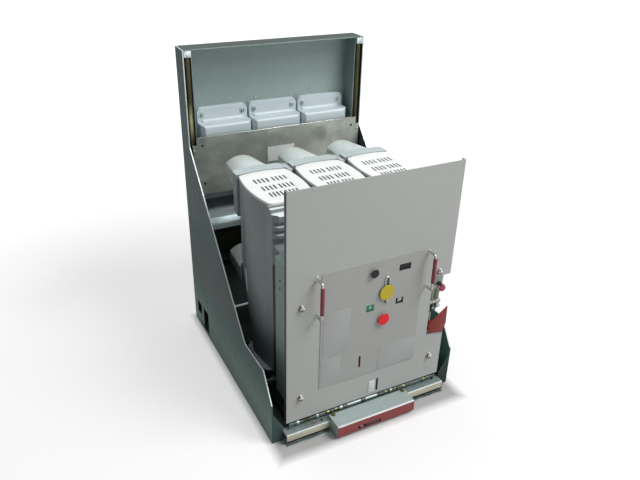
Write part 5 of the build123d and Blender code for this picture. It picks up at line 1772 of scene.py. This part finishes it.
@dataclass
class Interlock(SubAssembly):
    """Knob, lever, flag, lock barrel and plates in the cut-out of the panel."""

    body: str = "truck"
    knob: tuple = (210.0, 318.5, 9.8)
    lever: tuple = (180.5, 202.5, 287.0, 332.0)
    barrel: tuple = (12.0, 281.0, 6.6)
    barrel_x: float = 178.5
    ring: tuple = (187.0, 266.0, 9.5)
    # Start of the axis, radius and rise of each step.
    spring: tuple = (204.5, 9.0, 262.0, 4.4, 0.34)
    spring_steps: int = 60
    flag: tuple = ((228.0, 264.5), (174.5, 225.0), (175.5, 195.0), (222.0, 184.5), (229.5, 213.0))
    gusset: tuple = ((191.0, 331.0), (207.0, 327.5), (198.0, 346.0))

    def build(self) -> None:
        """Builds the pieces of the cut-out."""
        self._knob_and_lever()
        self._lock()
        self._plates()

    def _knob_and_lever(self) -> None:
        """Builds the round knob and the bent lever with its light border."""
        x, z, r = self.knob
        rings = [(r - 1.4, 0.0), (r, 1.4), (r, 7.0), (r - 1.2, 9.4), (0.5 * r, 10.0), (0.1 * r, 10.0)]
        knob = Workpiece().turned(rings, (x, 13.5, z), Facing.FRONT, 40)
        knob.slab((x - 8.0, 13.0, z - 4.0), (x - 1.0, 40.0, z + 3.0), 0.6)
        self.keep("interlock_round_knob", knob, KNOB_PLASTIC, replaces=("interlock_knob",))
        x0, x1, z0, z1 = self.lever
        middle, turn = (x0 + x1) / 2, (x1 - x0) / 2
        arm = [(x0, z0), (x1, z0)] + bend((middle, z1 - turn), turn, 0, 180, 14)
        piece = Workpiece().plate(arm, Facing.FRONT, 9.0, 3.0, 0.6)
        piece.slab((middle - 4, 8.5, 298.0), (middle + 4, 40.0, 308.0), 0.5)
        self.keep("interlock_bent_lever", piece, PALE_SIGN, replaces=("interlock_lever",))
        inner = [(x0 + 2.4, z0 + 1.5), (x1 - 2.4, z0 + 1.5)]
        inner += bend((middle, z1 - turn), turn - 2.4, 0, 180, 14)
        self.keep("interlock_lever_face", Workpiece().plate(inner, Facing.FRONT, 6.2, 0.8, 0.3), OLIVE_PAINT)
        groove = Workpiece().slab((middle - 4.5, 4.6, z0 + 6.0), (middle + 1.5, 5.6, z1 - turn), 0.4)
        self.keep("interlock_lever_groove", groove, ZINC_DARK)

    def _lock(self) -> None:
        """Builds the lock barrel, the black ring and the spring."""
        y, z, r = self.barrel
        rings = [(r - 0.8, 0.0), (r, 0.8), (r, 4.0), (r - 1.4, 4.6), (r - 1.4, 6.4), (r, 7.0), (r, 12.0)]
        rings += [(r - 1.4, 12.8), (r - 1.4, 15.0), (r - 0.4, 15.8), (r - 0.4, 19.2), (r - 1.2, 20.0)]
        tail = [(r - 1.6, 20.0, Outline.HEX), (r - 1.6, 31.0, Outline.HEX), (r - 2.4, 32.0)]
        lock = Workpiece().turned(rings, (self.barrel_x, y, z), Facing.RIGHT, 32)
        lock.turned(tail, (self.barrel_x, y, z), Facing.RIGHT, 24)
        lock.slab((184.0, y, z - 5.0), (204.0, 40.0, z + 5.0), 0.6)
        self.keep("interlock_lock_barrel", lock, BRIGHT_STEEL, replaces=("lock_barrels",))
        x, z, r = self.ring
        rings = [(r - 0.8, 0.0), (r, 1.0), (r, 7.0), (r - 1.2, 8.4), (5.2, 8.6), (4.8, 5.0)]
        black = Workpiece().turned(rings, (x, 12.0, z), Facing.FRONT, 32)
        black.slab((x - 6.0, 11.5, z - 6.0), (x + 6.0, 40.0, z + 6.0), 0.6)
        self.keep("interlock_black_ring", black, BLACK_PLASTIC)
        pin = Workpiece().turned(
            [(4.2, 0.0), (4.2, 5.0), (3.4, 5.8), (0.6, 6.0)], (x, 9.0, z), Facing.FRONT, 28
        )
        self.keep("interlock_pin", pin, ZINC_FLAT)
        x, y, z, r, rise = self.spring
        angles = [math.pi * k / 6 for k in range(self.spring_steps)]
        turns = [(x + r * math.cos(a), y + r * math.sin(a), z + rise * k) for k, a in enumerate(angles)]
        self.keep("interlock_spring", Workpiece().tube(turns, 0.9, 7), BRIGHT_STEEL)
        rod = Workpiece().slab((202.0, 12.0, 258.0), (207.0, 40.0, 284.0), 0.6)
        self.keep("interlock_spring_seat", rod, CROSS_ZINC)

    def _plates(self) -> None:
        """Builds the flag and the plates above and behind the lever."""
        flag = Workpiece().plate(self.flag, Facing.FRONT, -0.6, 2.0, 0.35)
        flag.slab((178.0, -0.8, 198.0), (186.0, 40.0, 226.0), 0.5)
        self.keep("interlock_flag_plate", flag, RED_PAINT, replaces=("interlock_flag",))
        stop = Workpiece().slab((188.0, 12.0, 326.0), (214.0, 14.0, 356.0), 0.5)
        stop.slab((190.0, 14.0, 340.0), (200.0, 40.0, 346.0), 0.4)
        self.keep("interlock_stop_plate", stop, PALE_SIGN)
        gusset = Workpiece().plate(self.gusset, Facing.FRONT, 5.0, 1.4, 0.3)
        gusset.slab((196.0, 4.8, 332.0), (200.0, 13.0, 337.0), 0.3)
        self.keep("interlock_gusset", gusset, NEAR_BLACK_PAINTED_SHADE)
        back = Workpiece().slab((175.5, 26.0, 236.0), (207.0, 27.4, 330.0), 0.4)
        back.slab((180.0, 27.0, 250.0), (196.0, 40.0, 256.0), 0.4)
        self.keep("interlock_back_plate", back, ZINC_DARK)


@dataclass
class Poles(SubAssembly):
    """Sleeves, ribs, strips and painted vent shade of the three poles."""

    body: str = "truck"
    pitch: float = 150.0
    arms: tuple = (("upper", 552.0), ("lower", 289.0))
    root_y: float = 347.0
    rim_y: float = 455.0
    half: float = 50.0
    side: float = 13.0
    top: float = 32.0
    below: float = 32.0
    taper: float = 0.81
    ledge: float = 2.0
    wall: float = 6.0
    cap_z: float = 574.0
    cap_top: float = 580.0
    # Place along and spread of each row.
    vent_rows: tuple = ((255.5, 1.0), (210.0, 0.95), (172.0, 0.88))
    vent_places: tuple = (7.5, 17.8, 28.1, 38.6)
    # Half of the width and half of the length.
    vent: tuple = (2.15, 13.0)
    # Half of the width, front and back end.
    vent_shade: Point = (46.0, 156.0, 270.0)
    rib_x: float = 69.6
    rib_upper: tuple = ((258.0, 500.0), (256.2, 349.0))
    rib_bent: tuple = ((256.2, 349.0), (251.0, 318.0), (245.9, 285.4))
    # Distance inward, place along and height.
    rib_lower: tuple = ((0.0, 245.9, 285.4), (0.3, 240.0, 220.0), (0.5, 238.0, 124.0))
    cap_right: tuple = ((60.0, 142.0), (70.0, 232.0), (61.0, 303.0))
    cap_rear: tuple = ((61.0, 303.0), (0.0, 312.0), (-61.0, 303.0))
    cap_front: tuple = ((-57.0, 127.0), (57.0, 127.0))

    def build(self) -> None:
        """Builds the fittings of every pole."""
        centres = (-self.pitch, 0.0, self.pitch)
        for number, centre in enumerate(centres, start=1):
            for row, z in self.arms:
                self._sleeve(f"{row}_sleeve", number, centre, z)
            # A near-black plate under each cap's vents: painted shade.
            x, y0, y1 = self.vent_shade
            outline = oblong(centre - x, centre + x, y0, y1, 4.0)
            vent_shade = Workpiece().plate(outline, Facing.UP, self.cap_top - 1.9, 0.5, 0.1)
            self.keep(f"pole_vent_painted_shade_{number}", vent_shade, VENT_PAINTED_SHADE)
            self._cap(number, centre)
        self._ribs([(centre + side * self.rib_x, side) for centre in centres for side in (-1, 1)])
        self._strips()

    def _ribs(self, places: list) -> None:
        """Builds the mould ribs down both sides of the poles, with a painted highlight on the bend of each.

        Args:
            places: Distance across of each rib, with its side of the pole.
        """
        upper, bent, lower = self.rib_upper, self.rib_bent, self.rib_lower
        ribs, glints = Workpiece(), Workpiece()
        for x, side in places:
            ribs.tube([(x, y, z) for y, z in upper], 0.7, 8)
            ribs.tube([(x - side * inward, y, z) for inward, y, z in lower], 0.7, 8)
            glints.tube([(x, y, z) for y, z in bent], 0.9, 8)
        self.keep("pole_mould_ribs", ribs, POLE_RESIN)
        self.keep("pole_rib_highlights", glints, RIB_PAINTED_HIGHLIGHT)

    def _strips(self) -> None:
        """Builds the bright strips between the poles, in the painted-highlight white."""
        strips = Workpiece()
        for x in (-self.pitch / 2, self.pitch / 2):
            for shift in (-3.2, 3.2):
                strips.slab((x + shift - 1.0, 298.0, 556.0), (x + shift + 1.0, 347.0, 577.0), 0.5)
            strips.slab((x - 10.5, 312.0, 558.0), (x + 10.5, 334.0, 560.0), 0.4)
        self.keep("pole_phase_strips", strips, PAINTED_HIGHLIGHT_WHITE)

    def _cap(self, number: int, centre: float) -> None:
        """Builds one cap with its three rows of vents.

        Args:
            number: Number of the pole.
            centre: Middle of the pole.
        """
        right, rear = through(*self.cap_right, 14), through(*self.cap_rear, 12)
        corners = right + rear[1:] + [(-x, y) for x, y in right[-2::-1]] + list(self.cap_front)
        rear_y, front_y = self.cap_rear[0][1], self.cap_front[0][1]
        radii = [6.0 if abs(y - rear_y) < 0.1 else 12.0 if y < front_y + 3.0 else 0.0 for _, y in corners]
        outline = [(centre + x, y) for x, y in rounded(corners, radii)]
        wide, long = self.vent
        vents = []
        for y, spread in self.vent_rows:
            for x in (side * place * spread for place in self.vent_places for side in (-1, 1)):
                vents.append(oblong(centre + x - wide, centre + x + wide, y - long, y + long, 1.2))
        cap = Workpiece().pierced(outline, vents, self.cap_z, self.cap_top, 0.5)
        self.keep(f"pole_cap_plate_{number}", cap, CAP_RESIN, replaces=(f"pole_cap_{number}",))

    def _ring(self, centre: float, z: float, y: float, inset: float, scale: float) -> list:
        """Draws a sleeve's arched section.

        Args:
            centre: Middle of the sleeve.
            z: Height of its axis.
            y: Place along it.
            inset: Distance inside the outer skin.
            scale: Size against the one at the root.

        Returns:
            The points of the section.
        """
        edge = self.half - inset
        arch = edge - self.ledge
        rise = self.top - inset - self.side
        radius = (arch * arch + rise * rise) / (2 * rise)
        swing = math.degrees(math.asin(arch / radius))
        low = inset - self.below
        crown = bend((0.0, self.top - inset - radius), radius, 90 - swing, 90 + swing, 22)
        corner = 3.0
        foot = bend((corner - edge, low + corner), corner, 180, 270, 4)
        foot += bend((edge - corner, low + corner), corner, 270, 360, 4)
        points = crown + [(-edge, self.side - self.ledge)] + foot + [(edge, self.side - self.ledge)]
        return [Vector((centre + a * scale, y, z + low + (u - low) * scale)) for a, u in points]

    def _sleeve(self, name: str, number: int, centre: float, z: float) -> None:
        """Builds one tapered sleeve with a rounded rim and its hollow.

        Args:
            name: Name of the sleeve's kind.
            number: Number of the pole.
            centre: Middle of the pole.
            z: Height of the sleeve's axis.
        """
        t, root, end, wall = self.taper, self.root_y, self.rim_y, self.wall
        steps = ((root - 1.0, 0.0, 1.0), (root, 0.0, 1.0), (end - 1.6, 0.0, t + 0.003), (end - 0.4, 0.5, t))
        steps += ((end, 1.6, t), (end, wall - 1.4, t), (end - 1.6, wall, t), (root + 6.0, wall, 1.0))
        sleeve = Workpiece().loft([self._ring(centre, z, *step) for step in steps])
        top_root, top_rim = z + self.top, z - self.below + (self.top + self.below) * t
        sleeve.tube([(centre, self.root_y, top_root - 0.3), (centre, end - 2.0, top_rim - 0.3)], 0.8, 8)
        self.keep(f"{name}_shell_{number}", sleeve, SLEEVE_RESIN, replaces=(f"{name}_{number}",))


@dataclass
class Studio:
    """Camera, lamps, floor and sky of the picture."""

    azimuth: float = -28.05
    elevation: float = 28.3
    roll: float = -1.61
    position: Point = (-0.70937, -1.32697, 1.18421)
    focal: float = 643.04
    image_width: float = 640.0
    sensor: float = 36.0
    lamps: tuple = (
        ("key_lamp", (1.9, -1.9, 3.8), 2.2, 142.0), ("top_lamp", (-0.3, 0.9, 3.2), 1.6, 26.0),
        ("low_lamp", (0.8, -2.8, 0.7), 1.4, 8.0),
    )
    target: Point = (0.0, 0.0, 0.4)
    floor_half: float = 14.0
    floor_drop: float = 0.0005
    sky: tuple[float, float] = (0.16, 0.40)
    mirrored: tuple[float, float] = (0.32, 0.85)
    foot: tuple[float, float] = (0.262, 0.329)
    floor_radius: tuple[float, float] = (0.9, 2.6)
    floor_mirrored: float = 0.3
    floor_open: Colour = (0.70, 0.70, 0.70)
    # Darker green-grey on the floor inside the cradle: painted shade.
    floor_painted_shade: Colour = (0.30, 0.345, 0.32)
    inside_middle: tuple[float, float] = (0.0, 0.033)
    inside_half: tuple[float, float] = (0.258, 0.292)

    def build(self) -> None:
        """Makes the whole studio."""
        bpy.context.scene.view_settings.view_transform = "Standard"
        self._camera()
        self._world()
        self._floor()
        for lamp in self.lamps:
            self._lamp(*lamp)

    def _camera(self) -> None:
        """Places the camera where the photograph was taken from."""
        a, e, r = (math.radians(v) for v in (self.azimuth, self.elevation, self.roll))
        out = Vector((math.sin(a) * math.cos(e), -math.cos(a) * math.cos(e), math.sin(e)))
        right = (-out).cross(Vector((0, 0, 1))).normalized()
        down = (-out).cross(right)
        across = right * math.cos(r) + down * math.sin(r)
        below = down * math.cos(r) - right * math.sin(r)
        camera = placed("camera", bpy.data.cameras.new("camera"))
        turn = Matrix((across, -below, out)).transposed().to_4x4()
        camera.matrix_world = Matrix.Translation(self.position) @ turn
        camera.data.sensor_width = self.sensor
        camera.data.lens = self.sensor * self.focal / self.image_width
        bpy.context.scene.camera = camera

    def _world(self) -> None:
        """Makes the sky, white to the camera and through glass, grey to near white in reflections and grey as
        a light.
        """
        world = bpy.data.worlds.new("sky")
        bpy.context.scene.world = world
        tree = emptied(world)
        path = tree.add("LightPath")
        direction = tree.add("SeparateXYZ", {0: tree.add("TexCoord").outputs["Generated"]})
        soft = tree.span(direction.outputs[0], -1.0, 1.0, self.sky[0], self.sky[1])
        mirrored = tree.span(direction.outputs[2], 0.0, 0.9, self.mirrored[0], self.mirrored[1])
        blend = {0: path.outputs["Is Glossy Ray"], 2: soft, 3: mirrored}
        strength = tree.add("Mix", blend, data_type="FLOAT").outputs[0]
        light = tree.add("Background", {"Color": WHITE, "Strength": strength})
        shown = tree.add("Background", {"Color": WHITE, "Strength": 1.0})
        seen = tree.math("MAXIMUM", path.outputs["Is Camera Ray"], path.outputs["Is Transmission Ray"])
        both = tree.add("MixShader", {0: seen, 1: light.outputs[0], 2: shown.outputs[0]})
        tree.feed(both.outputs[0], tree.add("OutputWorld"), 0)

    def _floor(self) -> None:
        """Makes the pale floor that keeps the object's shadow."""
        mesh = bpy.data.meshes.new("floor")
        corners = oblong(-self.floor_half, self.floor_half, -self.floor_half, self.floor_half)
        mesh.from_pydata([(x, y, 0) for x, y in corners], [], [(0, 1, 2, 3)])
        floor = placed("floor", mesh)
        floor.location.z = -self.floor_drop
        material = bpy.data.materials.new("floor_paint")
        tree = emptied(material)
        place = tree.add("TexCoord").outputs["Object"]
        lit = tree.add("BsdfDiffuse", {"Color": self._floor_tone(tree, place)})
        glow = tree.add("Emission", {"Color": WHITE, "Strength": self._floor_glow(tree, place)})
        both = tree.add("AddShader", {0: lit.outputs[0], 1: glow.outputs[0]})
        tree.feed(both.outputs[0], tree.add("OutputMaterial"), 0)
        mesh.materials.append(material)

    def _floor_tone(self, tree: Tree, place: bpy.types.NodeSocket) -> bpy.types.NodeSocket:
        """Mixes the floor's painted shade inside the cradle with its open tone beside it.

        Args:
            tree: Tree of the floor's material.
            place: Place on the floor.

        Returns:
            The colour.
        """
        sides = tree.add("SeparateXYZ", {0: place}).outputs
        moved = [tree.math("SUBTRACT", sides[k], self.inside_middle[k]) for k in (0, 1)]
        past = [tree.math("SUBTRACT", tree.math("ABSOLUTE", moved[k]), self.inside_half[k]) for k in (0, 1)]
        outer = tree.span(tree.math("MAXIMUM", *past), -0.008, 0.0)
        return tree.mix(outer, rgba(self.floor_painted_shade), rgba(self.floor_open))

    def _floor_glow(self, tree: Tree, place: bpy.types.NodeSocket) -> bpy.types.NodeSocket:
        """Makes the floor glow to the camera and in reflections, except below the object.

        Args:
            tree: Tree of the floor's material.
            place: Place on the floor.

        Returns:
            The strength.
        """
        path = tree.add("LightPath")
        mirrored = tree.math("MULTIPLY", path.outputs["Is Glossy Ray"], self.floor_mirrored)
        shown = tree.math("MAXIMUM", path.outputs["Is Camera Ray"], mirrored)
        shown = tree.math("MAXIMUM", shown, path.outputs["Is Transmission Ray"])
        away = tree.add("VectorMath", {0: place}, operation="LENGTH").outputs["Value"]
        sides = tree.add("SeparateXYZ", {0: place}).outputs
        outside = [tree.math("SUBTRACT", tree.math("ABSOLUTE", sides[k]), self.foot[k]) for k in (0, 1)]
        open_floor = tree.span(tree.math("MAXIMUM", *outside), -0.01, 0.02)
        near, far = self.floor_radius
        strength = tree.math("MULTIPLY", shown, tree.span(away, near, far, 0.55, 1.0))
        return tree.math("MULTIPLY", strength, open_floor)

    def _lamp(self, name: str, place: Point, size: float, power: float) -> None:
        """Hangs a soft lamp that looks at the middle of the object.

        Args:
            name: Name of the lamp.
            place: Where it hangs.
            size: Width of its disk.
            power: Power in watts.
        """
        data = bpy.data.lights.new(name, "AREA")
        data.shape = "DISK"
        data.size = size
        data.energy = power
        lamp = placed(name, data)
        lamp.location = place
        lamp.rotation_euler = (Vector(place) - Vector(self.target)).to_track_quat("Z", "Y").to_euler()


def main() -> None:
    """Builds the picture, dresses the frame and adds every piece."""
    logging.basicConfig(level=logging.INFO, format="%(name)s: %(message)s")
    shop = PaintShop()
    Studio().build()
    for name, finish in NODE_FINISHES.items():
        shop.dress(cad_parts[name], finish)
        log.info("finished %s as %s", name, finish.name)
    cradle = (Cradle, Shutters, SpoutRow, FrontRail, RackingUnit, InterlockShaft)
    truck = (Panel, Handles, PushButtons, SpringSocket, Interlock, Poles)
    for builder in cradle + truck:
        builder(shop).build()


if __name__ == "__main__":
    main()
